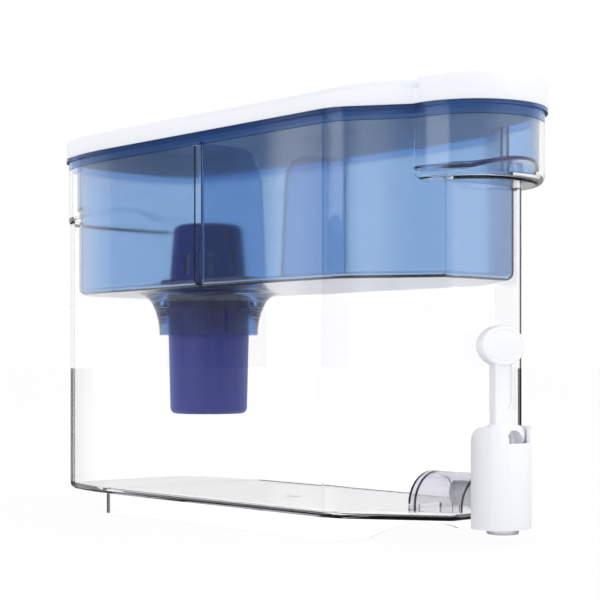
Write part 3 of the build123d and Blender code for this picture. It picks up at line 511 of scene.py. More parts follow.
@dataclass(frozen=True)
class WovenMesh(Finish):
    """Fine woven screen.

    Attributes:
        painted_gap_shade: the colour between its threads, which stands for the dark inside seen through the
            holes and is partly painted shade in the dips of the weave.
        pitch: the distance between its threads in metres.
        thread_depth: relief of a thread in metres.
        bands_at_one: how many bands per metre a wave texture has at scale 1.
    """

    # painted shade: the dark colour that the dips and holes between the threads get
    painted_gap_shade: Colour = (0.2, 0.2, 0.2)
    pitch: float = 0.0006
    thread_depth: float = 0.0002
    bands_at_one: float = 3.18

    def lay(self, coat: Coat) -> None:
        """Adds the threads, darker towards the gaps between them, partly by painted shade.

        Args:
            coat: the material's graph.
        """
        place = coat.add("ShaderNodeTexCoord").outputs["Object"]
        waves = []
        for direction in ("X", "Y"):
            wave = coat.add("ShaderNodeTexWave", bands_direction=direction,
                            scale=1 / self.pitch / self.bands_at_one)
            coat.join(place, wave.inputs["Vector"])
            waves.append(wave.outputs["Fac"])
        over = coat.calculate("MAXIMUM", *waves)
        # The colour follows the weave's relief, so the dips between threads are darker: partly the dark
        # inside seen through the holes, partly painted shade.
        coat.vary(over, self.painted_gap_shade, self.colour)
        coat.relief(over, self.thread_depth)


CLEAR = ClearPlastic("clear_plastic", (0.996, 0.997, 1.0), 0.008, depth_colour=(0.50, 0.52, 0.56),
                     depth=12.0, rise=0.012)
BLUE = ClearPlastic("blue_tint", (0.655, 0.785, 0.92), 0.085, ior=1.42, depth_colour=(0.22, 0.48, 0.80),
                    depth=155.0, rise=0.03)
HOOD = ClearPlastic("hood_plastic", (0.93, 0.925, 0.955), 0.05, ior=1.42, depth_colour=(0.5, 0.5, 0.58),
                    depth=60.0)
NOZZLE = ClearPlastic("nozzle_plastic", (0.80, 0.81, 0.83), 0.2, ior=1.42, depth_colour=(0.5, 0.5, 0.52),
                      depth=60.0)
NAVY = MouldedPlastic("navy_plastic", (0.033, 0.043, 0.27), 0.30, marked=(0.037, 0.050, 0.28), sheen=0.35,
                      sheen_tint=(0.06, 0.22, 1.0))
LID_WHITE = MouldedPlastic("white_plastic", (0.87, 0.89, 0.94), 0.34, marked=(0.86, 0.88, 0.93))
TAP_WHITE = MouldedPlastic("tap_white", (0.90, 0.912, 0.95), 0.36, marked=(0.89, 0.902, 0.94))
VALVE_WHITE = MouldedPlastic("valve_plastic", (0.70, 0.70, 0.72), 0.45, marked=(0.66, 0.66, 0.68))
SCREEN = WovenMesh("mesh", (0.7, 0.7, 0.68), 0.5)
STEEL = DrawnSteel("steel", (0.55, 0.56, 0.58), 0.22)
FINISHES: tuple[Finish, ...] = (
    CLEAR, BLUE, HOOD, NOZZLE, NAVY, LID_WHITE, TAP_WHITE, VALVE_WHITE, SCREEN, STEEL,
    SoftRubber("seal_rubber", (0.02, 0.02, 0.022), 0.7, bloom=(0.05, 0.05, 0.05)),
    SoftRubber("band_rubber", (0.03, 0.03, 0.034), 0.6, bloom=(0.06, 0.06, 0.065)),
    SoftRubber("silicone", (0.50, 0.50, 0.52), 0.5, bloom=(0.56, 0.56, 0.57)),
    Granules("carbon", (0.01, 0.01, 0.011), 0.6),
)


# ---------------------------------------------------------------- studio
@dataclass(frozen=True)
class Lamp:
    """A soft square lamp.

    Attributes:
        name: the lamp's name.
        place: where it hangs.
        width: its side in metres.
        watts: its power.
    """

    name: str
    place: tuple[float, float, float]
    width: float
    watts: float

    def build(self, target: Vector) -> None:
        """Hangs the lamp.

        Args:
            target: the point that it faces.
        """
        data = bpy.data.lights.new(self.name, "AREA")
        data.size = self.width
        data.energy = self.watts
        lamp = bpy.data.objects.new(self.name, data)
        lamp.location = self.place
        lamp.rotation_euler = (target - Vector(self.place)).to_track_quat("-Z", "Y").to_euler()
        bpy.context.scene.collection.objects.link(lamp)


@dataclass(frozen=True)
class Studio:
    """A plain white room: floor, soft lamps, dark panels at the sides, and the camera.

    Attributes:
        eye: where the camera stands.
        aim: the direction that it looks in.
        lens: focal length in millimetres.
        sensor: width of the camera's sensor in millimetres.
        rise: upward shift of the picture.
        world_light: how strongly the surroundings light the object.
        backdrop: brightness of the white room as clear plastic shows it, a little over 1 to make up for
            what its surfaces turn back.
        floor_size: width of the floor in metres.
        floor_drop: how far it lies under the object.
        floor_colour: its colour.
        floor_glow: share of the floor that shows as pure white.
        floor_backdrop: brightness of the floor as clear plastic shows it.
        floor_mirrored: brightness of the floor in reflections on the outermost wall.
        wall_turns: a ray that turned oftener meets the floor at full brightness, where a clear surface
            that it passes counts once.
        mirror_turns: how often a reflection counts.
        middle: the point that the lamps face.
        lamps: the soft lamps.
        panels: what reflections meet round the horizon, as pairs of an angle in degrees from +Y towards -X
            and a brightness.
    """

    eye: tuple[float, float, float] = (-0.6205, -0.689, 0.096)
    aim: tuple[float, float, float] = (0.672, 0.741, 0.0)
    lens: float = 89.4
    sensor: float = 36.0
    rise: float = 0.108
    world_light: float = 0.86
    backdrop: float = 1.17
    floor_size: float = 80.0
    floor_drop: float = 0.2 * MM
    floor_colour: Colour = (0.93, 0.93, 0.94)
    floor_glow: float = 0.95
    floor_backdrop: float = 1.24
    floor_mirrored: float = 0.12
    wall_turns: float = 4.5
    mirror_turns: float = 2.0
    middle: tuple[float, float, float] = (0.0, 0.0, 0.12)
    lamps: tuple[Lamp, ...] = (
        Lamp("key_lamp", (0.5, -1.6, 1.1), 1.2, 8.0), Lamp("side_lamp", (-1.7, 0.2, 1.0), 1.4, 6.5),
    )
    panels: tuple[Pair, ...] = (
        (0.0, 1.0), (20.0, 0.90), (30.0, 0.60), (34.0, 0.40), (36.2, 0.14), (41.22, 0.04), (41.26, 1.30),
        (42.4, 1.20), (43.0, 0.80), (43.5, 0.30), (48.0, 0.25), (112.4, 0.30), (113.3, 0.25), (114.1, 0.02),
        (114.35, 1.10), (115.0, 1.20), (115.4, 0.80), (115.9, 0.25), (116.4, 0.02), (117.5, 0.12),
        (120.0, 0.35), (150.0, 0.45), (180.0, 1.00),
    )

    def by_bounce(self, graph: Graph, rays: bpy.types.Node, behind: float,
                  mirrored: bpy.types.NodeSocket) -> bpy.types.NodeSocket:
        """Adds a brightness that is white straight ahead and something else in reflections.

        Args:
            graph: the material's or world's graph.
            rays: its Light Path node.
            behind: the brightness behind clear plastic.
            mirrored: the brightness that reflections meet.

        Returns:
            The brightness.
        """
        bounced = graph.calculate("GREATER_THAN", rays.outputs["Glossy Depth"], 0.0)
        straight = graph.mix_values(1.0, behind, rays.outputs["Is Transmission Ray"])
        return graph.mix(Mixed.NUMBERS, bounced, straight, mirrored)

    def panel_light(self, graph: Graph) -> bpy.types.NodeSocket:
        """Adds the brightness of the panels in the direction of a ray.

        Args:
            graph: the world's graph.

        Returns:
            The brightness.
        """
        split = graph.add("ShaderNodeSeparateXYZ")
        graph.join(graph.add("ShaderNodeTexCoord").outputs["Generated"], split.inputs[0])
        left = graph.calculate("MULTIPLY", split.outputs["X"], -1.0)
        turn = graph.calculate("ARCTAN2", left, split.outputs["Y"])
        last_angle = self.panels[-1][0]
        share = graph.add("ShaderNodeMapRange", from_max=math.radians(last_angle))
        graph.join(turn, share.inputs["Value"])
        ramp = graph.add("ShaderNodeValToRGB")
        stops = ramp.color_ramp.elements
        for angle, _ in self.panels[1:-1]:
            stops.new(angle / last_angle)
        for stop, (_, brightness) in zip(stops, self.panels):
            stop.color = opaque((brightness, brightness, brightness))
        graph.join(share.outputs["Result"], ramp.inputs["Fac"])
        return ramp.outputs["Color"]

    def seen_rays(self, graph: Graph, rays: bpy.types.Node) -> bpy.types.NodeSocket:
        """Adds a mask that is 1 for rays that show a surface as it is, and 0 for those that only light.

        Args:
            graph: the material's or world's graph.
            rays: its Light Path node.

        Returns:
            The mask.
        """
        mask = rays.outputs["Is Camera Ray"]
        for kind in ("Is Glossy Ray", "Is Transmission Ray"):
            mask = graph.calculate("MAXIMUM", mask, rays.outputs[kind])
        return mask

    def surroundings(self) -> None:
        """Builds the white world."""
        world = bpy.data.worlds.new("studio")
        world.use_nodes = True
        graph = Graph(world.node_tree)
        output = graph.add("ShaderNodeOutputWorld")
        background = graph.add("ShaderNodeBackground")
        fill(background, {"Color": (1.0, 1.0, 1.0, 1.0)})
        rays = graph.add("ShaderNodeLightPath")
        shown = self.by_bounce(graph, rays, self.backdrop, self.panel_light(graph))
        strength = graph.mix(Mixed.NUMBERS, self.seen_rays(graph, rays), self.world_light, shown)
        graph.join(strength, background.inputs["Strength"])
        graph.join(background.outputs["Background"], output.inputs["Surface"])
        bpy.context.scene.world = world

    def floor(self) -> None:
        """Builds the pale floor, which keeps the object's shadow."""
        deselect()
        bpy.ops.mesh.primitive_plane_add(size=self.floor_size, location=(0, 0, -self.floor_drop))
        floor = bpy.context.object
        floor.name = "studio_floor"
        material = bpy.data.materials.new("studio_floor")
        material.use_nodes = True
        graph = Graph(material.node_tree)
        output = graph.add("ShaderNodeOutputMaterial")
        matt = graph.add("ShaderNodeBsdfDiffuse")
        fill(matt, {"Color": opaque(self.floor_colour)})
        rays = graph.add("ShaderNodeLightPath")
        turns = graph.calculate("MULTIPLY_ADD", rays.outputs["Glossy Depth"], self.mirror_turns,
                                rays.outputs["Transmission Depth"])
        inner = graph.calculate("GREATER_THAN", turns, self.wall_turns)
        mirrored = graph.mix_values(self.floor_mirrored, 1.0, inner)
        glow = graph.add("ShaderNodeEmission")
        graph.join(self.by_bounce(graph, rays, self.floor_backdrop, mirrored), glow.inputs["Strength"])
        share = graph.mix_values(0.0, self.floor_glow, self.seen_rays(graph, rays))
        surface = graph.mix(Mixed.SHADERS, share, matt.outputs["BSDF"], glow.outputs["Emission"])
        graph.join(surface, output.inputs["Surface"])
        floor.data.materials.append(material)

    def camera(self) -> None:
        """Places the camera, level, with a small upward shift."""
        data = bpy.data.cameras.new("camera")
        data.lens = self.lens
        data.sensor_width = self.sensor
        data.shift_y = self.rise
        camera = bpy.data.objects.new("camera", data)
        camera.location = self.eye
        camera.rotation_euler = Vector(self.aim).to_track_quat("-Z", "Y").to_euler()
        bpy.context.scene.collection.objects.link(camera)
        bpy.context.scene.camera = camera

    def build(self) -> None:
        """Builds the whole studio."""
        self.surroundings()
        self.floor()
        for lamp in self.lamps:
            lamp.build(Vector(self.middle))
        self.camera()
        bpy.context.scene.view_settings.view_transform = "Standard"


# ---------------------------------------------------------------- modelling by hand
class Element(Enum):
    """The parts of a mesh that can be picked, by their select mode."""

    VERTEX = "VERT"
    FACE = "FACE"


def deselect() -> None:
    """Leaves edit mode and clears the selection."""
    if bpy.context.object and bpy.context.object.mode != "OBJECT":
        bpy.ops.object.mode_set(mode="OBJECT")
    bpy.ops.object.select_all(action="DESELECT")


def take_up(piece: bpy.types.Object) -> None:
    """Selects one piece alone and makes it the active one.

    Args:
        piece: the piece.
    """
    deselect()
    piece.select_set(True)
    bpy.context.view_layer.objects.active = piece


def begin_edit(piece: bpy.types.Object) -> None:
    """Opens one piece for editing with all of it selected.

    Args:
        piece: the piece.
    """
    take_up(piece)
    bpy.ops.object.mode_set(mode="EDIT")
    bpy.ops.mesh.select_mode(type="VERT")
    bpy.ops.mesh.select_all(action="SELECT")


def end_edit() -> None:
    """Turns the normals outwards and leaves edit mode."""
    bpy.ops.mesh.select_all(action="SELECT")
    bpy.ops.mesh.normals_make_consistent(inside=False)
    bpy.ops.object.mode_set(mode="OBJECT")


def merge_all() -> None:
    """Joins the vertices that share a place, and leaves everything selected."""
    bpy.ops.mesh.select_all(action="SELECT")
    bpy.ops.mesh.remove_doubles(threshold=MERGE_GAP)
    bpy.ops.mesh.select_all(action="SELECT")


def settle(piece: bpy.types.Object) -> None:
    """Puts a piece's place, turn and size into its mesh."""
    take_up(piece)
    bpy.ops.object.transform_apply(location=True, rotation=True, scale=True)


def run_modifier(piece: bpy.types.Object, kind: str, **settings: object) -> None:
    """Adds a modifier and applies it.

    Args:
        piece: the piece.
        kind: the modifier's type.
        settings: its properties.
    """
    modifier = piece.modifiers.new(kind.lower(), kind)
    for key, value in settings.items():
        setattr(modifier, key, value)
    take_up(piece)
    bpy.ops.object.modifier_apply(modifier=modifier.name)


def smooth(piece: bpy.types.Object, angle: float = 32.0) -> None:
    """Shades a piece smooth, but for edges sharper than an angle in degrees."""
    take_up(piece)
    bpy.ops.object.shade_smooth_by_angle(angle=math.radians(angle))


def hand_over(piece: bpy.types.Object, name: str, body: Body, finish: Finish) -> bpy.types.Object:
    """Names a finished piece, dresses it and fastens it to its body.

    Args:
        piece: the piece.
        name: its name.
        body: the body that carries it.
        finish: its finish.

    Returns:
        The piece.
    """
    piece.name = name
    piece.data.name = name
    piece.data.materials.clear()
    piece.data.materials.append(bpy.data.materials[finish.title])
    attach(piece, body.value)
    LOG.info("%s: %d faces on %s", name, len(piece.data.polygons), body.value)
    return piece


def pick(piece: bpy.types.Object, element: Element, chosen: Callable[[object], bool]) -> None:
    """Selects the chosen vertices or faces of the piece in edit mode.

    Args:
        piece: the piece.
        element: which of the two.
        chosen: tells for a vertex or face whether it is selected.
    """
    bpy.ops.mesh.select_mode(type=element.value)
    bpy.ops.mesh.select_all(action="DESELECT")
    bpy.ops.object.mode_set(mode="OBJECT")
    for item in piece.data.vertices if element is Element.VERTEX else piece.data.polygons:
        item.select = chosen(item)
    bpy.ops.object.mode_set(mode="EDIT")


def lathe(outline: list[Pair], centre: Pair, steps: int = 96) -> bpy.types.Object:
    """Turns a closed outline about an upright axis.

    Args:
        outline: the outline's points, as radius and height.
        centre: X and Y of the axis.
        steps: segments of the full turn.

    Returns:
        The turned piece.
    """
    deselect()
    start = Vector((centre[0] + outline[0][0], centre[1], outline[0][1]))
    bpy.ops.mesh.primitive_plane_add(size=MM, location=start)
    piece = bpy.context.object
    settle(piece)
    begin_edit(piece)
    bpy.ops.mesh.merge(type="CENTER")
    for (radius, height), (next_radius, next_height) in zip(outline, outline[1:] + outline[:1]):
        step = (next_radius - radius, 0.0, next_height - height)
        bpy.ops.mesh.extrude_region_move(TRANSFORM_OT_translate={"value": step})
    merge_all()
    bpy.ops.mesh.spin(steps=steps, angle=math.tau, center=(*centre, 0.0), axis=(0.0, 0.0, 1.0))
    merge_all()
    bpy.ops.mesh.delete_loose()
    end_edit()
    return piece


def coil(section_sides: int, section_radius: float, radius: float, axis: str, pitch: float, turns: int,
         turn: float = 0.0, steps: int = 48) -> bpy.types.Object:
    """Winds a round or cornered section into a helix that starts at the origin's height.

    Args:
        section_sides: corners of the section.
        section_radius: its radius.
        radius: radius of the helix.
        axis: its axis, "Y" or "Z".
        pitch: rise of one turn.
        turns: number of turns.
        turn: how the section is turned in its plane, in radians.
        steps: segments of one turn.

    Returns:
        The helix, closed at both ends.
    """
    deselect()
    tilt = (math.pi / 2, turn, 0.0) if axis == "Z" else (0.0, 0.0, turn)
    bpy.ops.mesh.primitive_circle_add(vertices=section_sides, radius=section_radius, rotation=tilt,
                                      location=(radius, 0.0, 0.0))
    piece = bpy.context.object
    settle(piece)
    run_modifier(piece, "SCREW", axis=axis, angle=math.tau, screw_offset=pitch, iterations=turns,
                 steps=steps, render_steps=steps, use_merge_vertices=False)
    begin_edit(piece)
    merge_all()
    bpy.ops.mesh.select_all(action="DESELECT")
    bpy.ops.mesh.select_non_manifold()
    bpy.ops.mesh.fill_holes(sides=section_sides)
    end_edit()
    return piece


def stand_round(piece: bpy.types.Object, turn: float, reach: float, axis_y: float, height: float) -> None:
    """Stands a flat piece upright at a place round an upright axis in the middle plane, facing outwards.

    Args:
        piece: the piece, lying at the origin.
        turn: where it goes, in degrees from +X.
        reach: its distance from the axis.
        axis_y: the axis's Y.
        height: where its origin goes.
    """
    around = math.radians(turn)
    piece.rotation_euler = (math.pi / 2, 0.0, around + math.pi / 2)
    piece.location = (reach * math.cos(around), axis_y + reach * math.sin(around), height)
    settle(piece)


def lay_on(piece: bpy.types.Object, node: str, thickness: float) -> None:
    """Lays a thin sheet on a solid's surface and gives it a thickness, half of it sunk in.

    Args:
        piece: the sheet.
        node: the solid that carries it.
        thickness: the full thickness in metres.
    """
    run_modifier(piece, "SHRINKWRAP", target=frame["nodes"][node], wrap_method="NEAREST_SURFACEPOINT")
    run_modifier(piece, "SOLIDIFY", thickness=thickness, offset=0.0)
    begin_edit(piece)
    end_edit()
    smooth(piece)


@dataclass(frozen=True)
class SoftEdged:
    """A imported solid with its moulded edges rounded, which stands for that solid.

    Attributes:
        node: the solid's name.
        body: the body that it rides on.
        finish: its finish.
        radius: radius of the rounded edges in metres.
        sharpest: edges sharper than this angle in degrees are rounded.
        segments: facets across a rounded edge.
        flattest: facets that meet at less than this angle in degrees are joined.
    """

    node: str
    body: Body
    finish: Finish
    radius: float
    sharpest: float = 38.0
    segments: int = 2
    flattest: float = 0.6

    def merged_copy(self) -> bpy.types.Object:
        """Copies the solid and joins its facets.

        Returns:
            The copy.
        """
        deselect()
        piece = bpy.data.objects.new(self.node + "_moulded", frame["nodes"][self.node].data.copy())
        bpy.context.scene.collection.objects.link(piece)
        begin_edit(piece)
        merge_all()
        bpy.ops.mesh.dissolve_limited(angle_limit=math.radians(self.flattest))
        end_edit()
        return piece

    def build(self) -> bpy.types.Object:
        """Builds the copy and puts it in the solid's place."""
        return self.round_off(self.merged_copy())

    def round_off(self, piece: bpy.types.Object) -> bpy.types.Object:
        """Rounds a copy's edges and puts it in the solid's place.

        Args:
            piece: the copy, with any detail already cut.

        Returns:
            The piece.
        """
        run_modifier(piece, "BEVEL", width=self.radius, segments=self.segments, limit_method="ANGLE",
                     angle_limit=math.radians(self.sharpest), use_clamp_overlap=True)
        smooth(piece)
        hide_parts(self.node)
        return hand_over(piece, piece.name, self.body, self.finish)


@dataclass(frozen=True)
class RaisedArch:
    """A thin raised line on the collar: an arch on one leg or two.

    Attributes:
        radius: outer radius of the arch in metres.
        width: width of the line.
        leg: length of each leg.
        turn: where it is round the collar, in degrees from +X.
        height: thickness of the line, half of it proud.
        two_legs: whether the arch comes down again.
        sides: segments of the arch's full circle.
        leg_steps: segments down a leg, which let it follow the collar.
    """

    radius: float
    width: float
    leg: float
    turn: float
    height: float
    two_legs: bool
    sides: int = 32
    leg_steps: int = 6

    def build(self, name: str, axis_y: float, foot_z: float, reach: float) -> bpy.types.Object:
        """Builds the line and lays it on the collar.

        Args:
            name: the piece's name.
            axis_y: place of the collar's axis.
            foot_z: height of the legs' ends.
            reach: a radius a little outside the collar.

        Returns:
            The piece.
        """
        deselect()
        bpy.ops.mesh.primitive_circle_add(vertices=self.sides, radius=self.radius, fill_type="NGON")
        piece = bpy.context.object
        begin_edit(piece)
        bpy.ops.mesh.select_mode(type="FACE")
        bpy.ops.mesh.select_all(action="SELECT")
        bpy.ops.mesh.inset(thickness=self.width)
        bpy.ops.mesh.delete(type="FACE")
        bpy.ops.mesh.select_mode(type="VERT")
        bpy.ops.mesh.select_all(action="SELECT")
        bpy.ops.mesh.bisect(plane_co=(0, 0, 0), plane_no=(0, 1, 0), clear_inner=True)
        if not self.two_legs:
            bpy.ops.mesh.select_all(action="SELECT")
            bpy.ops.mesh.bisect(plane_co=(0, 0, 0), plane_no=(1, 0, 0), clear_outer=True)
        pick(piece, Element.VERTEX, lambda vertex: abs(vertex.co.y) < MERGE_GAP)
        step = (0.0, -self.leg / self.leg_steps, 0.0)
        for _ in range(self.leg_steps):
            bpy.ops.mesh.extrude_region_move(TRANSFORM_OT_translate={"value": step})
        end_edit()
        stand_round(piece, self.turn, reach, axis_y, foot_z + self.leg)
        lay_on(piece, "reservoir", self.height)
        return hand_over(piece, name, Body.RESERVOIR, BLUE)


@dataclass
class ReservoirDetail:
    """The flare from the collar into the floor, and the raised lines on the collar.

    Attributes:
        flare: radius and height where the flare leaves the collar, where it bends and where it ends.
        flare_steps: facets along its curve.
        flare_sink: how far its hidden faces lie inside the reservoir.
        flare_crease: edges of the flare sharper than this angle in degrees stay sharp.
        reach: a radius a little outside the collar, from which its lines are laid on.
        lug: the small arch at the collar's lower edge.
        rails: the two lines that guide the cartridge's tabs, by the side that they are on.
    """

    flare: tuple[Pair, ...] = ((37.7 * MM, 137.0 * MM), (41.9 * MM, 143.0 * MM), (50.0 * MM, 143.0 * MM))
    flare_steps: int = 8
    flare_sink: float = 0.4 * MM
    flare_crease: float = 50.0
    reach: float = 33.5 * MM
    lug: RaisedArch = RaisedArch(3.3 * MM, 0.6 * MM, 2.4 * MM, -137.4, 0.5 * MM, True)
    rails: tuple[tuple[str, RaisedArch], ...] = (
        ("front", RaisedArch(3.6 * MM, 0.7 * MM, 12.0 * MM, -90.0, 0.6 * MM, False)),
        ("back", RaisedArch(3.6 * MM, 0.7 * MM, 12.0 * MM, 90.0, 0.6 * MM, False)),
    )

    def build(self) -> None:
        """Builds the pieces."""
        cup_low, cup_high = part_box("filter_body")
        axis_y = (cup_low[1] + cup_high[1]) / 2
        collar_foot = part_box("reservoir")[0][2]
        self.build_flare(axis_y)
        self.lug.build("collar_lug", axis_y, collar_foot, self.reach)
        for side, rail in self.rails:
            rail.build(f"collar_rail_{side}", axis_y, collar_foot, self.reach)

    def build_flare(self, axis_y: float) -> bpy.types.Object:
        """Builds the round that leads the collar into the reservoir's floor.

        Args:
            axis_y: place of the collar's axis.

        Returns:
            The piece.
        """
        curve = []
        for step in range(self.flare_steps + 1):
            share = step / self.flare_steps
            weights = ((1 - share) ** 2, 2 * share * (1 - share), share ** 2)
            curve.append(tuple(sum(weight * value for weight, value in zip(weights, values))
                               for values in zip(*self.flare)))
        (foot_radius, foot_z), (bend_radius, _), (rim_radius, rim_z) = self.flare
        hidden_z = rim_z + self.flare_sink
        outline = curve + [(rim_radius, hidden_z), (bend_radius - self.flare_sink, hidden_z),
                           (foot_radius - self.flare_sink, foot_z)]
        piece = lathe(outline, (0.0, axis_y))
        smooth(piece, self.flare_crease)
        return hand_over(piece, "collar_flare", Body.RESERVOIR, BLUE)


@dataclass
class CartridgeDetail:
    """The cartridge's softened cup and cap, its slot screen and its parting lines.

    Attributes:
        mouldings: the softened mouldings.
        screen_low: radius and height of the slot screen's lower edge.
        screen_high: radius and height of its upper edge.
        screen_thickness: its thickness.
        parting_turns: where the mould's parting lines are, in degrees from +X.
        parting_width: width of each line.
        parting_height: its thickness, half of it proud.
        parting_ends: how far its ends stay from the cup's foot and top.
        parting_cuts: cuts across it, which let it follow the cup.
        parting_reach: a radius a little outside the cup, from which it is laid on.
    """

    mouldings: tuple[SoftEdged, ...] = (
        SoftEdged("filter_body", Body.FILTER, NAVY, 0.5 * MM),
        SoftEdged("filter_cap", Body.FILTER, NAVY, 0.35 * MM),
    )
    screen_low: Pair = (23.2 * MM, 152.2 * MM)
    screen_high: Pair = (21.6 * MM, 172.0 * MM)
    screen_thickness: float = 0.4 * MM
    parting_turns: tuple[float, ...] = (-112.0, 68.0)
    parting_width: float = 0.45 * MM
    parting_height: float = 0.24 * MM
    parting_ends: Pair = (7 * MM, 2 * MM)
    parting_cuts: int = 12
    parting_reach: float = 28.0 * MM

    def build(self) -> None:
        """Builds the pieces."""
        for moulding in self.mouldings:
            moulding.build()
        low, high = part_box("filter_body")
        axis_y = (low[1] + high[1]) / 2
        (low_radius, low_z), (high_radius, high_z) = self.screen_low, self.screen_high
        outline = [self.screen_low, self.screen_high, (high_radius - self.screen_thickness, high_z),
                   (low_radius - self.screen_thickness, low_z)]
        screen = lathe(outline, (0.0, axis_y))
        smooth(screen)
        hand_over(screen, "cap_slot_screen", Body.FILTER, SCREEN)
        line_low, line_high = low[2] + self.parting_ends[0], high[2] - self.parting_ends[1]
        for number, turn in enumerate(self.parting_turns):
            self.build_parting_line(f"parting_line_{number}", turn, axis_y, line_low, line_high)

    def build_parting_line(self, name: str, turn: float, axis_y: float, low_z: float,
                           high_z: float) -> bpy.types.Object:
        """Builds one raised line down the cup.

        Args:
            name: the piece's name.
            turn: where it is round the cup, in degrees from +X.
            axis_y: place of the cup's axis.
            low_z: height of its lower end.
            high_z: height of its upper end.

        Returns:
            The piece.
        """
        deselect()
        bpy.ops.mesh.primitive_plane_add(size=1.0)
        line = bpy.context.object
        line.scale = (self.parting_width, high_z - low_z, 1.0)
        stand_round(line, turn, self.parting_reach, axis_y, (low_z + high_z) / 2)
        begin_edit(line)
        bpy.ops.mesh.subdivide(number_cuts=self.parting_cuts)
        end_edit()
        lay_on(line, "filter_body", self.parting_height)
        return hand_over(line, name, Body.FILTER, NAVY)


@dataclass
class TapDetail:
    """The tap's softened mouldings, the line round the lever's face, the shank's thread and the spring.

    Attributes:
        mouldings: the softened pieces.
        lever: the lever, which gets its line before it is softened.
        paddle_height: the paddle's face is no further than this under the lever's top.
        face_slope: how squarely the paddle's face looks forward at least, where 1 is straight.
        least_face: its least area in square metres.
        face_inset: from the paddle's edge to the line round its face.
        line_width: half of the line's width.
        line_depth: how deep the line is.
        thread_radius: radius of the shank under the thread.
        thread_pitch: distance between turns.
        thread_depth: size of the thread's section.
        thread_from_nut: gap between the nut and the thread's first turn.
        thread_turns: number of turns.
        spring_wire: radius of the return spring's wire.
        wire_sides: facets round the wire.
        spring_turns: number of the spring's turns.
        spring_gap: room left at each of its ends.
    """

    mouldings: tuple[SoftEdged, ...] = (
        SoftEdged("tap_housing", Body.DISPENSER, TAP_WHITE, 0.45 * MM),
        SoftEdged("spout_nozzle", Body.DISPENSER, NOZZLE, 0.2 * MM),
        SoftEdged("shank_nut", Body.DISPENSER, VALVE_WHITE, 0.5 * MM),
        SoftEdged("lever_pin", Body.VALVE, STEEL, 0.25 * MM),
    )
    lever: SoftEdged = SoftEdged("lever", Body.LEVER, TAP_WHITE, 0.3 * MM)
    paddle_height: float = 15 * MM
    face_slope: float = 0.99
    least_face: float = 1e-4
    face_inset: float = 0.5 * MM
    line_width: float = 0.4 * MM
    line_depth: float = 0.35 * MM
    thread_radius: float = 6.5 * MM
    thread_pitch: float = 1.5 * MM
    thread_depth: float = 0.5 * MM
    thread_from_nut: float = 0.6 * MM
    thread_turns: int = 6
    spring_wire: float = 0.48 * MM
    wire_sides: int = 12
    spring_turns: int = 5
    spring_gap: float = 0.03 * MM

    def build(self) -> None:
        """Builds the pieces."""
        for moulding in self.mouldings:
            moulding.build()
        self.build_lever()
        self.build_thread()
        self.build_spring()

    def build_lever(self) -> bpy.types.Object:
        """Builds the lever, with a fine line pressed round the paddle's face.

        Returns:
            The piece.
        """
        piece = self.lever.merged_copy()
        paddle_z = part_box("lever")[1][2] - self.paddle_height
        begin_edit(piece)
        pick(piece, Element.FACE, lambda face: face.normal.y < -self.face_slope
             and face.center.z > paddle_z and face.area > self.least_face)
        for width, depth in ((self.face_inset, 0.0), (self.line_width, -self.line_depth),
                             (self.line_width, self.line_depth)):
            bpy.ops.mesh.inset(thickness=width, depth=depth)
        end_edit()
        return self.lever.round_off(piece)

    def build_thread(self) -> bpy.types.Object:
        """Builds the thread on the shank, between the nut and the shank's end.

        Returns:
            The piece.
        """
        shank_z = sum(corner[2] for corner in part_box("shank_nut")) / 2
        start_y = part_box("shank_nut")[1][1] + self.thread_from_nut
        piece = coil(3, self.thread_depth, self.thread_radius, "Y", self.thread_pitch, self.thread_turns,
                     turn=-math.pi / 2)
        piece.location = (0.0, start_y, shank_z)
        settle(piece)
        smooth(piece)
        return hand_over(piece, "shank_thread", Body.DISPENSER, VALVE_WHITE)

    def build_spring(self) -> bpy.types.Object:
        """Builds the return spring, which rides on the valve under the bonnet.

        Returns:
            The piece.
        """
        low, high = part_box("valve_spring")
        foot_z, top_z = low[2] + self.spring_gap, high[2] - self.spring_gap
        length = top_z - foot_z
        middle = ((low[0] + high[0]) / 2, (low[1] + high[1]) / 2)
        radius = (high[0] - low[0]) / 2 - self.spring_wire
        pitch = (length - 2 * self.spring_wire) / self.spring_turns
        piece = coil(self.wire_sides, self.spring_wire, radius, "Z", pitch, self.spring_turns)
        piece.location = (*middle, foot_z + self.spring_wire)
        settle(piece)
        smooth(piece)
        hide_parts("valve_spring")
        hand_over(piece, "valve_spring_wound", Body.VALVE, STEEL)
        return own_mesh(piece)


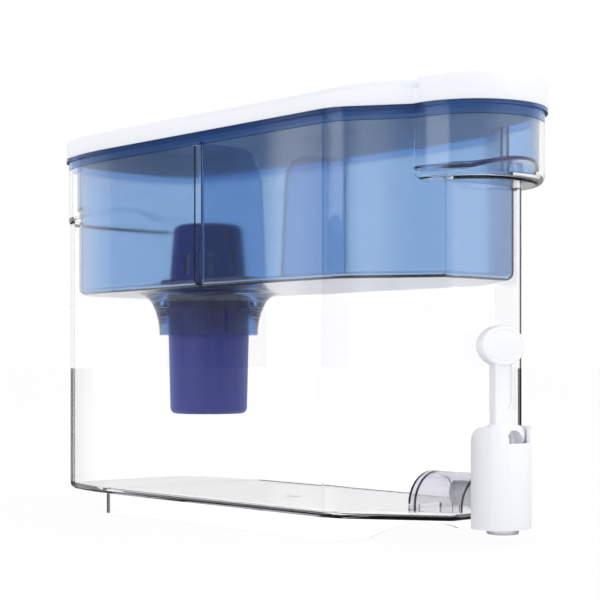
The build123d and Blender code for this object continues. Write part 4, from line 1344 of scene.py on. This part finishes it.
@dataclass
class LidDetail:
    """The lid's softened moulding and the ejector marks under its crown.

    Attributes:
        moulding: the softened lid.
        mark_radius: radius of an ejector mark.
        mark_sides: facets round it.
        mark_height: thickness of the raised mark, half of it proud.
        mark_places: X and Y of the marks.
        under: a height just under the crown's lower face.
    """

    moulding: SoftEdged = SoftEdged("lid", Body.LID, LID_WHITE, 0.4 * MM)
    mark_radius: float = 3.2 * MM
    mark_sides: int = 24
    mark_height: float = 0.3 * MM
    mark_places: tuple[Pair, ...] = (
        (-0.038, -0.090), (0.038, -0.090), (-0.038, 0.040), (0.038, 0.040), (-0.038, 0.120), (0.038, 0.120),
    )
    under: float = 243.0 * MM

    def build(self) -> None:
        """Builds the pieces."""
        self.moulding.build()
        for number, place in enumerate(self.mark_places):
            deselect()
            bpy.ops.mesh.primitive_circle_add(vertices=self.mark_sides, radius=self.mark_radius,
                                              fill_type="TRIFAN", location=(*place, self.under))
            mark = bpy.context.object
            settle(mark)
            lay_on(mark, "lid", self.mark_height)
            hand_over(mark, f"lid_ejector_mark_{number}", Body.LID, LID_WHITE)


@dataclass
class TankDetail:
    """The gate mark in the middle of the tank's floor, seen from below.

    Attributes:
        floor_z: height of the floor's underside.
        disc_radius: radius of the raised disc.
        edge: bevel round the disc.
        tip_radius: radius of the sheared tip in its middle.
        drop: how far the disc stands out, and the tip from the disc.
        sink: how far the mark reaches into the floor.
        steps: segments of its full turn.
    """

    floor_z: float = 12.5 * MM
    disc_radius: float = 5.0 * MM
    edge: float = 0.2 * MM
    tip_radius: float = 1.2 * MM
    drop: float = 0.5 * MM
    sink: float = 0.3 * MM
    steps: int = 32

    def build(self) -> bpy.types.Object:
        """Builds the mark.

        Returns:
            The piece.
        """
        top_z = self.floor_z + self.sink
        disc_z = self.floor_z - self.drop
        tip_z = self.floor_z - 2 * self.drop
        outline = [(0.0, top_z), (self.disc_radius, top_z), (self.disc_radius, self.floor_z - self.edge),
                   (self.disc_radius - self.edge, disc_z), (2 * self.tip_radius, disc_z),
                   (self.tip_radius, tip_z), (0.0, tip_z)]
        mark = lathe(outline, (0.0, 0.0), steps=self.steps)
        smooth(mark)
        return hand_over(mark, "floor_gate_mark", Body.DISPENSER, CLEAR)


def dress(node: str, material: bpy.types.Material) -> None:
    """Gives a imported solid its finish.

    Args:
        node: the solid's name.
        material: the finish.
    """
    solid = frame["nodes"][node]
    solid.data.materials.clear()
    solid.data.materials.append(material)


def main() -> None:
    """Builds the studio, dresses the solids and adds the pieces."""
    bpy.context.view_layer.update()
    Studio().build()
    mould_grain_group()
    handling_group()
    finishes = {finish.slot: finish.build() for finish in FINISHES}
    for part in frame["record"]["subparts"]:
        dress(part["node"], finishes[part["material_slot"]])
        LOG.info("dressed %s", part["node"])
    for detail in (TankDetail(), ReservoirDetail(), CartridgeDetail(), LidDetail(), TapDetail()):
        detail.build()


if __name__ == "__main__":
    main()
